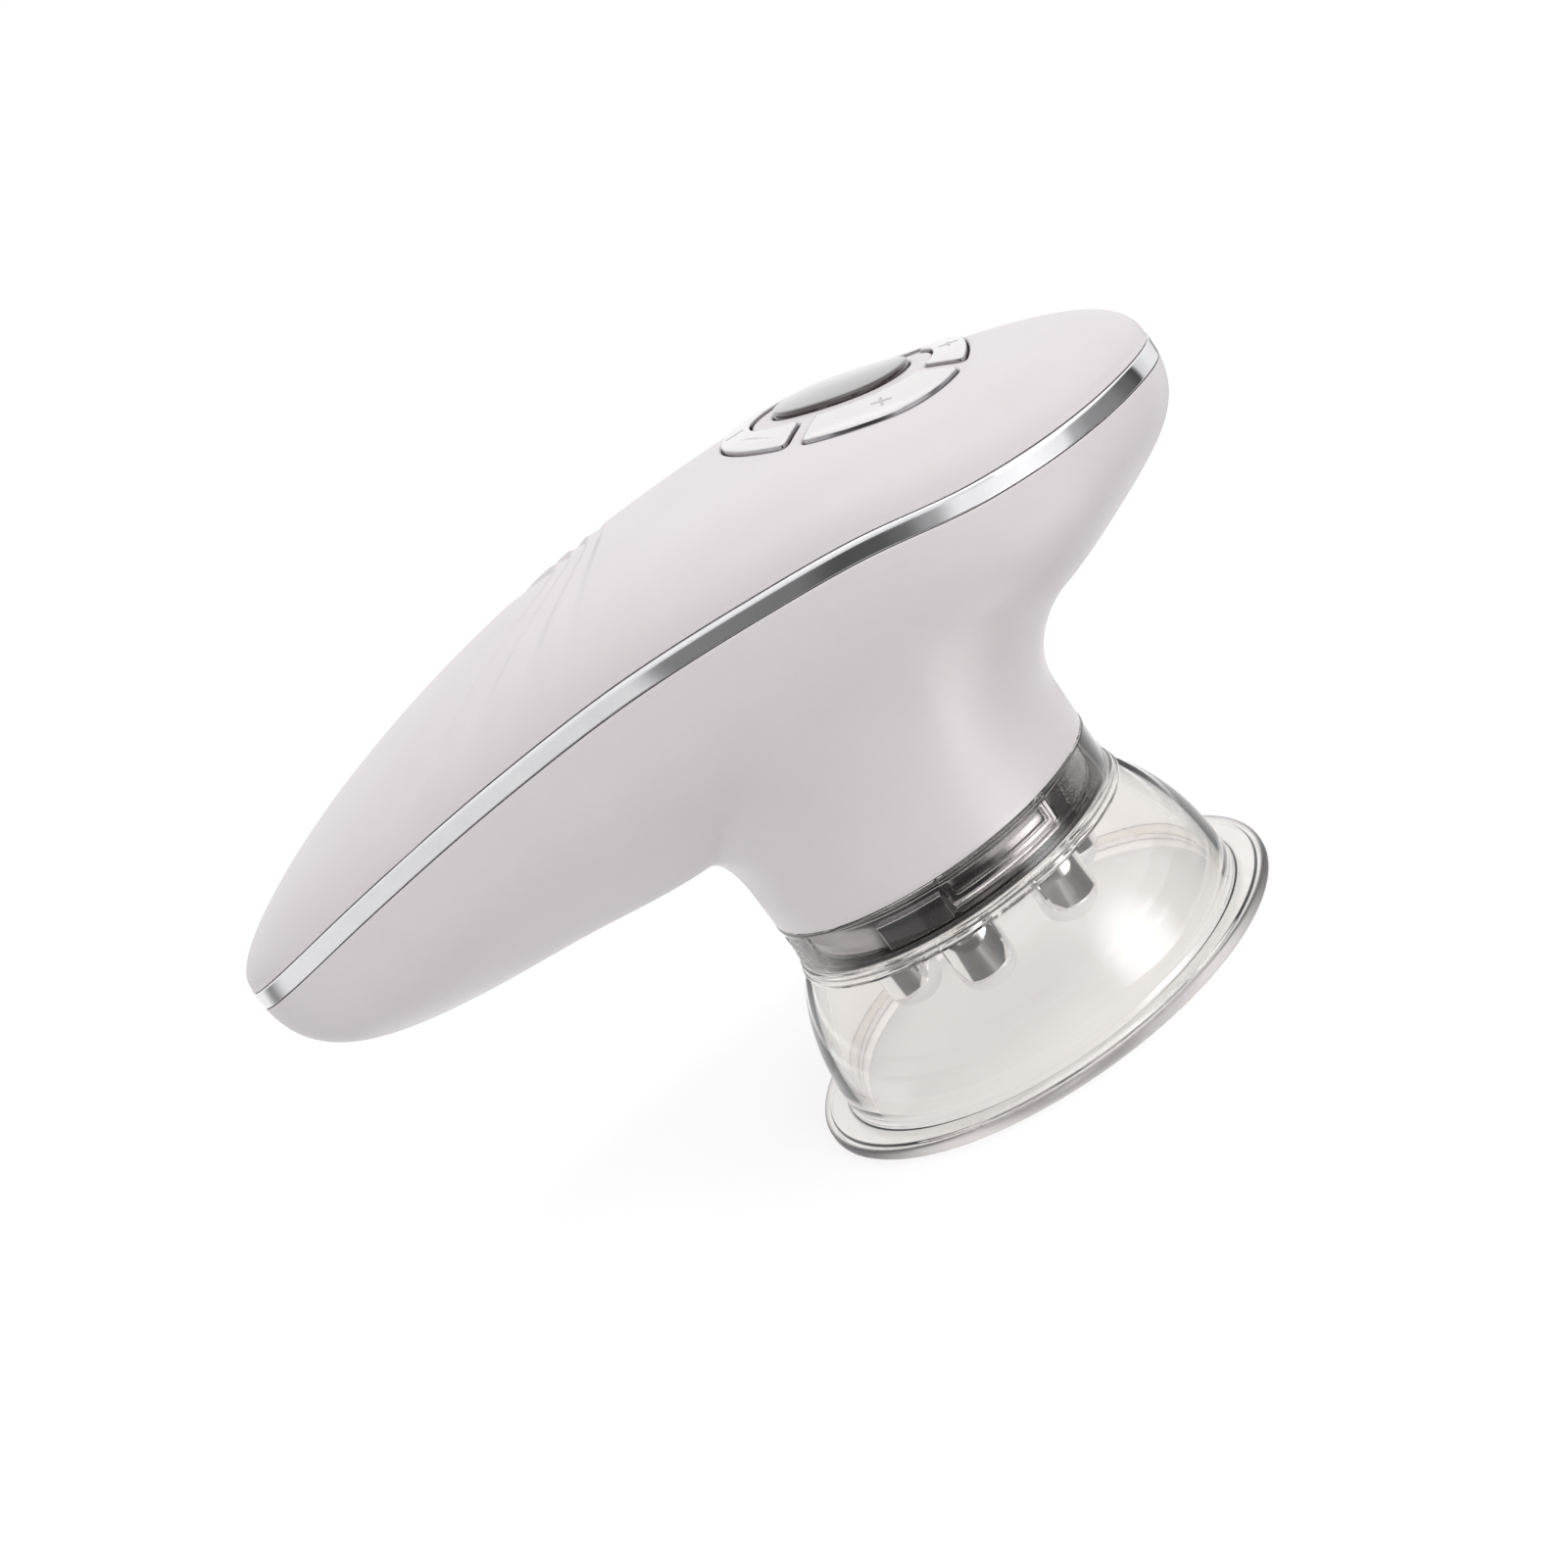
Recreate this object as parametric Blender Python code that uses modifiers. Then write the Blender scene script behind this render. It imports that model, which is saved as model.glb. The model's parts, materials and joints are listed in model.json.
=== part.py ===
"""Handheld vacuum massager: a pebble-shaped body on a clear suction cup.

Metres, +Z up. The origin lies under the middle of the body, on the plane that the cup's rim stands on.
+X points to the nose of the head, -X to the end of the handle. The cup's axis is vertical, at CUP_X.
"""

import math

import bmesh
import bpy
import numpy as np
from mathutils import Matrix, Vector

# Clearance between pieces that touch or seat on each other
GAP = 0.0003
# How far a cutter runs past the face it opens
OVERRUN = 0.002
# How deep a joined feature is sunk into the piece that carries it
SUNK = 0.0003
# Points closer than this are one point
MERGE_DISTANCE = 0.00001
# Edges sharper than this stay hard, and edges sharper than the other are rounded
HARD_ANGLE = math.radians(35)
ROUNDED_ANGLE = math.radians(40)
# Rounds of a search that halves its step, and of one that steps along the crown
SEARCH_ROUNDS = 40
LIFT_ROUNDS = 5
# Facets of a round piece that has no count of its own
ROUND_STEPS = 16
BORE_STEPS = 8
# Shape of a rounded corner for the bevel tool, where this value is a circle's arc
ROUND_PROFILE = 0.5

# Body
BODY_LENGTH = 0.1867
NOSE_REACH = 0.0747
HANDLE_WIDTH = 0.0602
HEAD_WIDTH = 0.0994
SEAM_HEIGHT = 0.0930
UNDER_DEPTH = 0.0400
CROWN_REAR = 0.0156
CROWN_FRONT = 0.0173
WALL = 0.0020
BAND_HEIGHT = 0.0030
BAND_DEPTH = 0.0016
RIM_LAND = 0.0006
CROWN_POWER = 2.3
UNDER_POWER = 2.7
# Power of the outline's half width towards the tail: 1 is an ellipse, less is blunter
TAIL_FULLNESS = 0.75
# Where the sides start and stop widening, from -1 at the tail to 1 at the nose
WIDENING_SHARES = (-0.9, 1.3)
# Where the nose starts to narrow, and by how much
NOSE_START_SHARE = 0.75
NOSE_TAPER_SHARE = 0.16
# Stretch of the body, from the tail, over which the crown rises
CROWN_RISE_SHARES = (0.52, 0.84)
# Place from the tail, and height of the seam there
SEAM_SHARES = (
    (0.000, 0.842), (0.171, 0.917), (0.354, 0.976), (0.493, 1.001), (0.611, 0.999),
    (0.707, 0.984), (0.814, 0.943), (0.921, 0.922), (1.010, 0.913),
)
# Place from the tail, and depth of the underside there
DEPTH_SHARES = (
    (0.000, 0.850), (0.118, 0.875), (0.279, 0.922), (0.423, 0.998),
    (0.600, 0.918), (0.814, 0.765), (0.953, 0.628), (1.010, 0.642),
)
COLUMNS = 40
TOP_RINGS = 7
UNDER_RINGS = 9
# Evens out the columns round the neck
COLUMN_WARP = 0.25

# Pleats across the top of the handle
PLEATS = 4
PLEAT_REACH = 0.0175
PLEAT_PITCH = 0.0050
PLEAT_DEPTH = 0.0006
PLEAT_WIDTH = 0.0034
PLEAT_SWEEP = 0.016
PLEAT_HALF_SPAN_SHARE = 0.72
PLEAT_POINTS = 9

# Neck under the head
NECK_RADIUS = 0.0313
FLARE_DROP = 0.0086
FLARE_FRONT = 0.0140
FLARE_REAR = 0.0030
FLARE_MOST_SHARE = 0.9

# Suction cup
RIM_RADIUS = 0.0450
RIM_THICKNESS = 0.0022
RIM_ROUNDING = 0.0006
BELL_FOOT_RADIUS = 0.0395
BELL_FILLET = 0.0010
BELL_WALL = 0.0024
BELL_POWER = 2.35
BELL_RINGS = 6
COLLAR_RADIUS = 0.0314
COLLAR_WALL = 0.0011
COLLAR_BOTTOM = 0.0278
COLLAR_HEIGHT = 0.0094
CUP_STEPS = 32

# Bayonet between cup and base ring
LUGS = 3
LUG_ARC = math.radians(43)
LUG_MIDDLE = math.radians(-69)
LUG_DEPTH = 0.0010
LUG_HEIGHT = 0.0054
LUG_STEPS = 4
FLANGE_DEPTH = 0.0010
FLANGE_HEIGHT = 0.0014
STOP_ARC = math.radians(24)
STOP_HEIGHT = 0.0047
STOP_CLEARANCE = math.radians(1.5)

# Base under the neck
SEAL_DEPTH = 0.0025
SEAL_THICKNESS = 0.0014
BASE_RING_RADIUS = 0.0290
BASE_RING_WALL = 0.0027
BASE_RING_HEIGHT = 0.0112
BASE_LEDGE_REACH = 0.0090
BASE_LEDGE_THICKNESS = 0.0025
BASE_PLATE_THICKNESS = 0.0024
BASE_PLATE_PROUD = 0.0014
BOARD_THICKNESS = 0.0014
BASE_SCREWS = 3
BASE_SCREW_CIRCLE = 0.0230
BASE_SCREW_PHASE = math.radians(50)
BASE_BOSS_HEIGHT = 0.0080
BASE_WEB_WIDTH = 0.0040
BASE_WEB_HEIGHT = 0.0050
WEB_STEPS = 2
DISC_STEPS = 24

# Electrode posts
POSTS = 6
POST_CIRCLE = 0.0180
POST_PHASE = math.radians(20)
POST_RADIUS = 0.0052
POST_LENGTH = 0.0170
POST_DOME = 0.0042
POST_STEM_RADIUS = 0.0018
POST_STEPS = 10
POST_DOME_RINGS = 3

# Suction nozzle and hoses
NOZZLE_RADIUS = 0.0068
NOZZLE_FLANGE = 0.0010
NOZZLE_BODY_RADIUS = 0.0055
NOZZLE_HEIGHT = 0.0070
NOZZLE_STEPS = 16
PORT_OFFSET = 0.0030
BARB_RADIUS = 0.0016
BARB_BORE = 0.0009
BARB_LENGTH = 0.0030
HOSE_WALL = 0.0009
HOSE_POINTS = 5
PIN_STEPS = 8

# Screws
SCREW_RADIUS = 0.0012
SCREW_HEAD_RADIUS = 0.0024
SCREW_HEAD_HEIGHT = 0.0016
SCREW_SLOT_WIDTH = 0.0006
SCREW_SLOT_DEPTH = 0.0008
SCREW_STEPS = 8
SCREW_BITE = 0.0060
BOSS_WALL = 0.0016

# Frame inside the head, from the cup's axis
FRAME_DROP = 0.0290
FRAME_THICKNESS = 0.0022
FRAME_FRONT = 0.0400
FRAME_REAR = 0.0360
FRAME_HALF_WIDTH = 0.0220
FRAME_CORNER = 0.0080
FRAME_CORNER_STEPS = 4
FRAME_BOSS_FRONT = (0.0345, 0.0130)
FRAME_BOSS_REAR = (-0.0310, 0.0160)
RIB_STEPS = 4

# Vacuum pump
PUMP_X = -0.0080
PUMP_RADIUS = 0.0135
PUMP_BASE_HEIGHT = 0.0042
PUMP_STEPS = 16
DIAPHRAGM_THICKNESS = 0.0012
DIAPHRAGM_HUB_RADIUS = 0.0040
DIAPHRAGM_HUB_HEIGHT = 0.0020
PUMP_HEAD_HEIGHT = 0.0125
PUMP_HEAD_WALL = 0.0016
PUMP_FLANGE = 0.0026
PUMP_FLANGE_THICKNESS = 0.0020
PUMP_MOTOR_RADIUS = 0.0122
PUMP_MOTOR_LENGTH = 0.0250
MOTOR_ROUNDING = 0.0012
BEARING_RADIUS = 0.0030
BEARING_HEIGHT = 0.0012
SHAFT_RADIUS = 0.0010
CRANK_RADIUS = 0.0060
CRANK_THROW = 0.0016
CRANK_THICKNESS = 0.0040
CRANK_PIN_RADIUS = 0.0012
SHAFT_RUNNING_GAP = 0.0003
# Where the motor's shaft ends, as a share of the crank's thickness
SHAFT_END_SHARE = 0.33

# Release valve
VALVE_X = 0.0120
VALVE_Y = 0.0120
VALVE_HANG = 0.0080
VALVE_RADIUS = 0.0046
VALVE_LENGTH = 0.0160
VALVE_FLANGE = 0.0013
VALVE_FLANGE_THICKNESS = 0.0012
VALVE_WALL = 0.0012
VALVE_PIN_RADIUS = 0.0009
VALVE_CAP_RADIUS = 0.0022
VALVE_STEPS = 12

# Vibration motor
SHAKER_REAR = 0.0090
SHAKER_LENGTH = 0.0180
SHAKER_RADIUS = 0.0055
SHAKER_CRADLE = 0.0018
SHAKER_SHAFT = 0.0060
SHAKER_STEPS = 12
SADDLE_INSET = 0.0035
SADDLE_THICKNESS = 0.0020
SADDLE_WIDTH = 0.0100
WEIGHT_RADIUS = 0.0050
WEIGHT_LENGTH = 0.0045
WEIGHT_CLEARANCE = 0.0008
WEIGHT_HUB_WALL = 0.0010
WEIGHT_ARC = math.radians(170)

# Battery and boards in the handle, from the cup's axis
BATTERY_RADIUS = 0.0092
BATTERY_FRONT = -0.0430
BATTERY_CLEARANCE = 0.0020
BATTERY_DROP = 0.0190
BATTERY_CAP_RADIUS = 0.0030
BATTERY_CAP_HEIGHT = 0.0010
BATTERY_STEPS = 16
CRADLE_THICKNESS = 0.0018
CRADLE_INSET = 0.0080
CRADLE_SIDE = 0.0022
MAIN_BOARD_INSET = 0.0030
MAIN_BOARD_WIDTH = 0.0180
CHIP_SIZE = 0.0070
CHIP_HEIGHT = 0.0012
# Places of the chips along the board, from its middle
CHIP_SHARES = (-0.3, 0.0, 0.3)

# Charging socket in the end of the handle
SOCKET_WIDTH = 0.0090
SOCKET_HEIGHT = 0.0034
SOCKET_LENGTH = 0.0075
SOCKET_WALL = 0.0004
SOCKET_DROP = 0.0230
SOCKET_RECESS = 0.0016
SOCKET_TONGUE = 0.0007
CHARGE_BOARD_LENGTH = 0.0090
CHARGE_BOARD_WIDTH = 0.0130
CHARGE_BOARD_INSET = 0.0064

# Panel with display and keys; the middle is measured from the cup's axis
PANEL_REACH = 0.0293
LENS_RADIUS = 0.0117
LENS_PROUD = 0.0009
LENS_EDGE = 0.0004
LENS_THICKNESS = 0.0030
LENS_STEPS = 24
# Rings of the lens's top, from its edge to its middle
LENS_RING_SHARES = (1.0, 0.67, 0.34)
KEY_INNER_RADIUS = 0.0160
# The ring's outer edge: its length along the body, its width, and how square each half of it is
KEY_RING_LENGTH = 0.0428
KEY_RING_WIDTH = 0.0504
KEY_RING_FRONT_POWER = 2.5
KEY_RING_REAR_POWER = 2.0
KEY_PROUD = 0.0006
KEY_THICKNESS = 0.0032
KEY_SLOT = 0.0030
KEY_FRONT_SPLIT = math.radians(36)
KEY_REAR_SPLIT = math.radians(112)
KEY_TRAVEL = 0.0005
KEY_BEVEL = 0.0003
KEY_STEPS = 6
KEY_STEPS_ACROSS = 3
STEM_RADIUS = 0.0016
DISPLAY_BOARD_RADIUS = 0.0300
DISPLAY_BOARD_DEPTH = 0.0120
DISPLAY_SCREWS = 3
DISPLAY_SCREW_CIRCLE = 0.0272
DISPLAY_MODULE = 0.0130
SWITCH_SIZE = 0.0050
SWITCH_HEIGHT = 0.0024
PLUNGER_RADIUS = 0.0012
PLUNGER_SUNK = 0.0012
PLUNGER_REACH = 0.0012
PLUNGER_STEPS = 8

# Heights and places that follow from the sizes above
HALF_LENGTH = BODY_LENGTH / 2
CUP_X = HALF_LENGTH - NOSE_REACH
COLLAR_TOP = COLLAR_BOTTOM + COLLAR_HEIGHT
NECK_BOTTOM = COLLAR_TOP + GAP
FLARE_BOTTOM = SEAM_HEIGHT - UNDER_DEPTH - FLARE_DROP
FRAME_HEIGHT = SEAM_HEIGHT - FRAME_DROP
BATTERY_HEIGHT = SEAM_HEIGHT - BATTERY_DROP
SOCKET_LEVEL = SEAM_HEIGHT - SOCKET_DROP
VALVE_BOTTOM = FRAME_HEIGHT - VALVE_HANG
COLLAR_BORE = COLLAR_RADIUS - COLLAR_WALL
SEAL_BOTTOM = COLLAR_BOTTOM + GAP
BASE_BOTTOM = SEAL_BOTTOM + SEAL_THICKNESS + GAP
BASE_TOP = BASE_BOTTOM + BASE_RING_HEIGHT
BASE_BORE = BASE_RING_RADIUS - BASE_RING_WALL
PLATE_BOTTOM = BASE_BOTTOM - BASE_PLATE_PROUD
PLATE_TOP = PLATE_BOTTOM + BASE_PLATE_THICKNESS
ELECTRODE_BOARD_BOTTOM = PLATE_TOP + GAP
ELECTRODE_BOARD_TOP = ELECTRODE_BOARD_BOTTOM + BOARD_THICKNESS
FRAME_TOP = FRAME_HEIGHT + FRAME_THICKNESS
HOLE_RADIUS = SCREW_RADIUS + GAP
BOSS_RADIUS = HOLE_RADIUS + BOSS_WALL
HEAD_FLANGE_BOTTOM = FRAME_TOP + GAP
PUMP_HEAD_TOP = HEAD_FLANGE_BOTTOM + PUMP_FLANGE_THICKNESS
PUMP_HEAD_BOTTOM = PUMP_HEAD_TOP - PUMP_HEAD_HEIGHT
DIAPHRAGM_BOTTOM = PUMP_HEAD_BOTTOM - GAP - DIAPHRAGM_THICKNESS
PUMP_BASE_TOP = DIAPHRAGM_BOTTOM - GAP
PUMP_BASE_BOTTOM = PUMP_BASE_TOP - PUMP_BASE_HEIGHT
MOTOR_BOTTOM = PUMP_HEAD_TOP + GAP
MAIN_BOARD_BOTTOM = BATTERY_HEIGHT + BATTERY_RADIUS + GAP
SHAKER_HEIGHT = FRAME_TOP + SHAKER_CRADLE + SHAKER_RADIUS
NOZZLE_TOP = PLATE_BOTTOM + NOZZLE_HEIGHT
CHARGE_BOARD_BOTTOM = SOCKET_LEVEL - SOCKET_HEIGHT / 2 - GAP - BOARD_THICKNESS
HOSE_BORE = BARB_RADIUS + GAP

# Each key's side, and where its stretch of the ring starts and stops
KEYS = (
    ("front", -KEY_FRONT_SPLIT, KEY_FRONT_SPLIT),
    ("left", KEY_FRONT_SPLIT, KEY_REAR_SPLIT),
    ("rear", KEY_REAR_SPLIT, math.tau - KEY_REAR_SPLIT),
    ("right", -KEY_REAR_SPLIT, -KEY_FRONT_SPLIT),
)

MODEL = "vacuum_massager"


def clear_scene():
    """Removes every object, so that the script starts from an empty scene."""
    for obj in list(bpy.data.objects):
        bpy.data.objects.remove(obj, do_unlink=True)


def collection(name):
    """A new collection in the scene."""
    made = bpy.data.collections.new(name)
    bpy.context.scene.collection.children.link(made)
    return made


def material(name, colour, roughness, metallic=0.0, transmission=0.0):
    """A Principled BSDF material."""
    made = bpy.data.materials.new(name)
    made.use_nodes = True
    shader = made.node_tree.nodes["Principled BSDF"]
    shader.inputs["Base Color"].default_value = (*colour, 1.0)
    shader.inputs["Roughness"].default_value = roughness
    shader.inputs["Metallic"].default_value = metallic
    shader.inputs["Transmission Weight"].default_value = transmission
    return made


clear_scene()
PARTS = collection(MODEL)
CUTTERS = collection("cutters")

WHITE_SHELL = material("white_shell", (0.86, 0.85, 0.87), 0.38)
WHITE_KEY = material("white_key", (0.90, 0.89, 0.90), 0.18)
POLISHED = material("polished_band", (0.80, 0.80, 0.82), 0.06, metallic=1.0)
DARK_CHROME = material("dark_chrome", (0.22, 0.21, 0.22), 0.12, metallic=1.0)
DARK_LENS = material("dark_lens", (0.05, 0.04, 0.05), 0.06)
CLEAR = material("clear_plastic", (0.96, 0.96, 0.95), 0.03, transmission=1.0)
STEEL = material("steel", (0.60, 0.60, 0.62), 0.30, metallic=1.0)
BOARD_GREEN = material("board_green", (0.03, 0.22, 0.10), 0.45)
INNER_GREY = material("inner_grey", (0.35, 0.35, 0.37), 0.55)
SILICONE = material("silicone", (0.75, 0.75, 0.74), 0.60)
BLUE_WRAP = material("battery_wrap", (0.06, 0.20, 0.50), 0.35)
BLACK = material("black_plastic", (0.03, 0.03, 0.03), 0.50)


def smooth(obj):
    """Shades round faces smooth and keeps hard edges sharp."""
    obj.data.shade_smooth()
    obj.data.set_sharp_from_angle(angle=HARD_ANGLE)


def new_object(name, mesh, finish=None, parent=None):
    """Links a mesh as a part, or as a cutter where it has no finish."""
    obj = bpy.data.objects.new(name, mesh)
    obj.parent = parent
    if finish is None:
        CUTTERS.objects.link(obj)
        obj.hide_render = True
        obj.display_type = "WIRE"
    else:
        PARTS.objects.link(obj)
        mesh.materials.append(finish)
        smooth(obj)
    return obj


def from_bmesh(name, bm, finish=None, parent=None):
    """Turns a bmesh into an object with its faces pointing out."""
    bmesh.ops.recalc_face_normals(bm, faces=bm.faces)
    closed = all(edge.is_manifold for edge in bm.edges)
    if closed and bm.calc_volume(signed=True) < 0:
        bmesh.ops.reverse_faces(bm, faces=bm.faces)
    mesh = bpy.data.meshes.new(name)
    bm.to_mesh(mesh)
    bm.free()
    return new_object(name, mesh, finish, parent)


def axis(name, place, turn=None):
    """An empty that marks the axis, or the frame, that pieces are built about."""
    empty = bpy.data.objects.new(name, None)
    empty.location = place
    if turn is not None:
        empty.rotation_euler = turn
    PARTS.objects.link(empty)
    return empty


CUP_AXIS = axis("cup_axis", (CUP_X, 0.0, 0.0))


def boolean(obj, other, operation):
    """Adds an exact Boolean to obj."""
    modifier = obj.modifiers.new(other.name, "BOOLEAN")
    modifier.operation = operation
    modifier.object = other
    modifier.solver = "EXACT"


def cut(obj, *cutters):
    """Cuts each cutter out of obj."""
    for cutter in cutters:
        boolean(obj, cutter, "DIFFERENCE")


def join(obj, *features):
    """Joins each feature to obj."""
    for feature in features:
        boolean(obj, feature, "UNION")


def bevel(obj, width, segments=2, angle=ROUNDED_ANGLE):
    """Rounds the edges of obj that are sharper than the angle."""
    modifier = obj.modifiers.new("rounding", "BEVEL")
    modifier.width = width
    modifier.segments = segments
    modifier.limit_method = "ANGLE"
    modifier.angle_limit = angle


def box(name, size, centre, finish=None, parent=None):
    """A box by its three sizes and its centre."""
    bm = bmesh.new()
    bmesh.ops.create_cube(bm, size=1.0, matrix=Matrix.Translation(centre) @ Matrix.Diagonal((*size, 1.0)))
    return from_bmesh(name, bm, finish, parent)


def cylinder(name, radius, low, high, centre=(0.0, 0.0), finish=None, parent=None, steps=ROUND_STEPS):
    """An upright cylinder between two heights."""
    bm = bmesh.new()
    place = Matrix.Translation((*centre, (low + high) / 2))
    bmesh.ops.create_cone(
        bm, cap_ends=True, segments=steps, radius1=radius, radius2=radius, depth=high - low, matrix=place
    )
    return from_bmesh(name, bm, finish, parent)


def turned(name, profile, finish=None, parent=None, steps=ROUND_STEPS, centre=(0.0, 0.0)):
    """A turned piece: the closed profile of (radius, height) points, run round the parent's axis."""
    mesh = bpy.data.meshes.new(name)
    points = [(radius, 0.0, height) for radius, height in profile]
    edges = [(i, (i + 1) % len(points)) for i in range(len(points))]
    on_axis = [i for i, (radius, _) in enumerate(profile) if radius == 0]
    if len(on_axis) == 2:
        edges = [edge for edge in edges if set(edge) != set(on_axis)]
    mesh.from_pydata(points, edges, [])
    obj = new_object(name, mesh, finish, parent)
    obj.location = (*centre, 0.0)
    screw = obj.modifiers.new("turn", "SCREW")
    screw.axis = "Z"
    screw.steps = steps
    screw.render_steps = steps
    screw.use_merge_vertices = True
    screw.merge_threshold = MERGE_DISTANCE
    screw.use_smooth_shade = True
    return obj


def bent_slab(name, steps, place, finish=None, parent=None):
    """A slab whose points place() sets, from three shares along, across and up, each 0 to 1."""
    bm = bmesh.new()
    bmesh.ops.create_grid(bm, x_segments=steps[0], y_segments=steps[1], size=0.5)
    raised = bmesh.ops.extrude_face_region(bm, geom=bm.faces[:])["geom"]
    upper = [item for item in raised if isinstance(item, bmesh.types.BMVert)]
    bmesh.ops.translate(bm, verts=upper, vec=(0.0, 0.0, 1.0))
    for vert in bm.verts:
        vert.co = place(vert.co.x + 0.5, vert.co.y + 0.5, vert.co.z)
    return from_bmesh(name, bm, finish, parent)


def sector(name, inner, outer, low, high, start, stop, finish=None, parent=None, steps=LUG_STEPS):
    """A stretch of a ring, between two radii, heights and angles."""

    def place(along, across, up):
        angle = start + (stop - start) * along
        radius = inner + (outer - inner) * across
        return Vector((radius * math.cos(angle), radius * math.sin(angle), low + (high - low) * up))

    return bent_slab(name, (steps, 1), place, finish, parent)


def loft(name, rings, finish=None, parent=None, caps=True):
    """Skins a list of closed rings of equal length; a ring of one point closes to a pole."""
    bm = bmesh.new()
    rows = [[bm.verts.new(point) for point in ring] for ring in rings]
    for low, high in zip(rows, rows[1:]):
        count = max(len(low), len(high))
        for i in range(count):
            j = (i + 1) % count
            corners = [low[i % len(low)], low[j % len(low)], high[j % len(high)], high[i % len(high)]]
            bm.faces.new(list(dict.fromkeys(corners)))
    if caps:
        for row in (rows[0], rows[-1]):
            if len(row) > 1:
                bm.faces.new(row)
    return from_bmesh(name, bm, finish, parent)


def tube(name, points, radius, finish=None, resolution=2):
    """A mesh tube along points, with filled ends."""
    curve = bpy.data.curves.new(name, "CURVE")
    curve.dimensions = "3D"
    curve.bevel_depth = radius
    curve.bevel_resolution = resolution
    curve.use_fill_caps = True
    spline = curve.splines.new("POLY")
    spline.points.add(len(points) - 1)
    for slot, point in zip(spline.points, points):
        slot.co = (*point, 1.0)
    guide = bpy.data.objects.new(name + "_route", curve)
    CUTTERS.objects.link(guide)
    graph = bpy.context.evaluated_depsgraph_get()
    bm = bmesh.new()
    bm.from_mesh(bpy.data.meshes.new_from_object(guide.evaluated_get(graph)))
    bmesh.ops.remove_doubles(bm, verts=bm.verts, dist=MERGE_DISTANCE)
    bpy.data.objects.remove(guide)
    return from_bmesh(name, bm, finish)


def eased(low, high, value):
    """A smooth step of value between low and high, from 0 to 1."""
    share = np.clip((value - low) / (high - low), 0, 1)
    return share * share * (3 - 2 * share)


def along(shares, value):
    """A smooth curve through a table of shares, read at value."""
    places, heights = np.array(shares).T
    slopes = np.gradient(heights, places)
    value = np.clip(value, places[0], places[-1])
    i = np.clip(np.searchsorted(places, value) - 1, 0, len(places) - 2)
    step = places[i + 1] - places[i]
    t = (value - places[i]) / step
    return (
        (2 * t**3 - 3 * t**2 + 1) * heights[i]
        + (t**3 - 2 * t**2 + t) * step * slopes[i]
        + (3 * t**2 - 2 * t**3) * heights[i + 1]
        + (t**3 - t**2) * step * slopes[i + 1]
    )


def from_tail(x):
    """Place along the body, from 0 at the tail to 1 at the nose."""
    return (x + HALF_LENGTH) / BODY_LENGTH


def seam_height(x):
    """Height of the crown's lower edge at x."""
    return SEAM_HEIGHT * along(SEAM_SHARES, from_tail(x))


def outline(inset=0.0):
    """The body's outline in plan, as arrays of x and y, drawn in by inset."""
    even = np.arange(COLUMNS) * math.tau / COLUMNS
    turn = even + COLUMN_WARP * np.sin(2 * even)
    share = np.cos(turn)
    nose = 1 - NOSE_TAPER_SHARE * np.clip((share - NOSE_START_SHARE) / (1 - NOSE_START_SHARE), 0, 1) ** 2
    widening = (HEAD_WIDTH - HANDLE_WIDTH) / 2 * eased(*WIDENING_SHARES, share)
    x = HALF_LENGTH * share
    fullness = np.where(share < 0, TAIL_FULLNESS, 1.0)
    y = (HANDLE_WIDTH / 2 + widening) * nose * np.sign(np.sin(turn)) * np.abs(np.sin(turn)) ** fullness
    along_x = (np.roll(x, -1) - np.roll(x, 1)) / 2
    along_y = (np.roll(y, -1) - np.roll(y, 1)) / 2
    length = np.hypot(along_x, along_y)
    return x - inset * along_y / length, y + inset * along_x / length


OUTLINE_X, OUTLINE_Y = outline()
OUTLINE_RADIUS = np.hypot(OUTLINE_X - CUP_X, OUTLINE_Y)
OUTLINE_ANGLE = np.arctan2(OUTLINE_Y, OUTLINE_X - CUP_X)


def crown(share, x):
    """Height of the crown where its rings are scaled to share of the outline."""
    rise = CROWN_REAR + (CROWN_FRONT - CROWN_REAR) * eased(*CROWN_RISE_SHARES, from_tail(x)) - RIM_LAND
    return seam_height(x) + RIM_LAND + rise * (1 - np.minimum(share, 1.0) ** CROWN_POWER) ** (1 / CROWN_POWER)


def outline_share(x, y):
    """How far a point lies from the cup's axis, as a share of the outline in its direction."""
    order = np.argsort(OUTLINE_ANGLE)
    reach = np.interp(
        np.arctan2(y, x - CUP_X), OUTLINE_ANGLE[order], OUTLINE_RADIUS[order], period=math.tau
    )
    return np.hypot(x - CUP_X, y) / reach


def crown_at(x, y):
    """Height of the crown over a point in plan."""
    return float(crown(outline_share(x, y), x))


def scaled_ring(share):
    """The outline drawn in towards the cup's axis."""
    return CUP_X + share * (OUTLINE_X - CUP_X), share * OUTLINE_Y


TOP_RING_SHARES = [math.cos(i * math.pi / (2 * TOP_RINGS)) for i in range(TOP_RINGS + 1)]


def crown_facet_at(x, y):
    """Height over a point in plan of the crown's facets, which lie a little under the crown."""
    share = float(outline_share(x, y))
    outer = min(ring for ring in TOP_RING_SHARES if ring >= share)
    inner = max(ring for ring in TOP_RING_SHARES if ring < outer)
    outer_height, inner_height = (
        crown(ring, CUP_X + (x - CUP_X) * ring / share) for ring in (outer, inner)
    )
    return float(inner_height + (outer_height - inner_height) * (share - inner) / (outer - inner))


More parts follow.
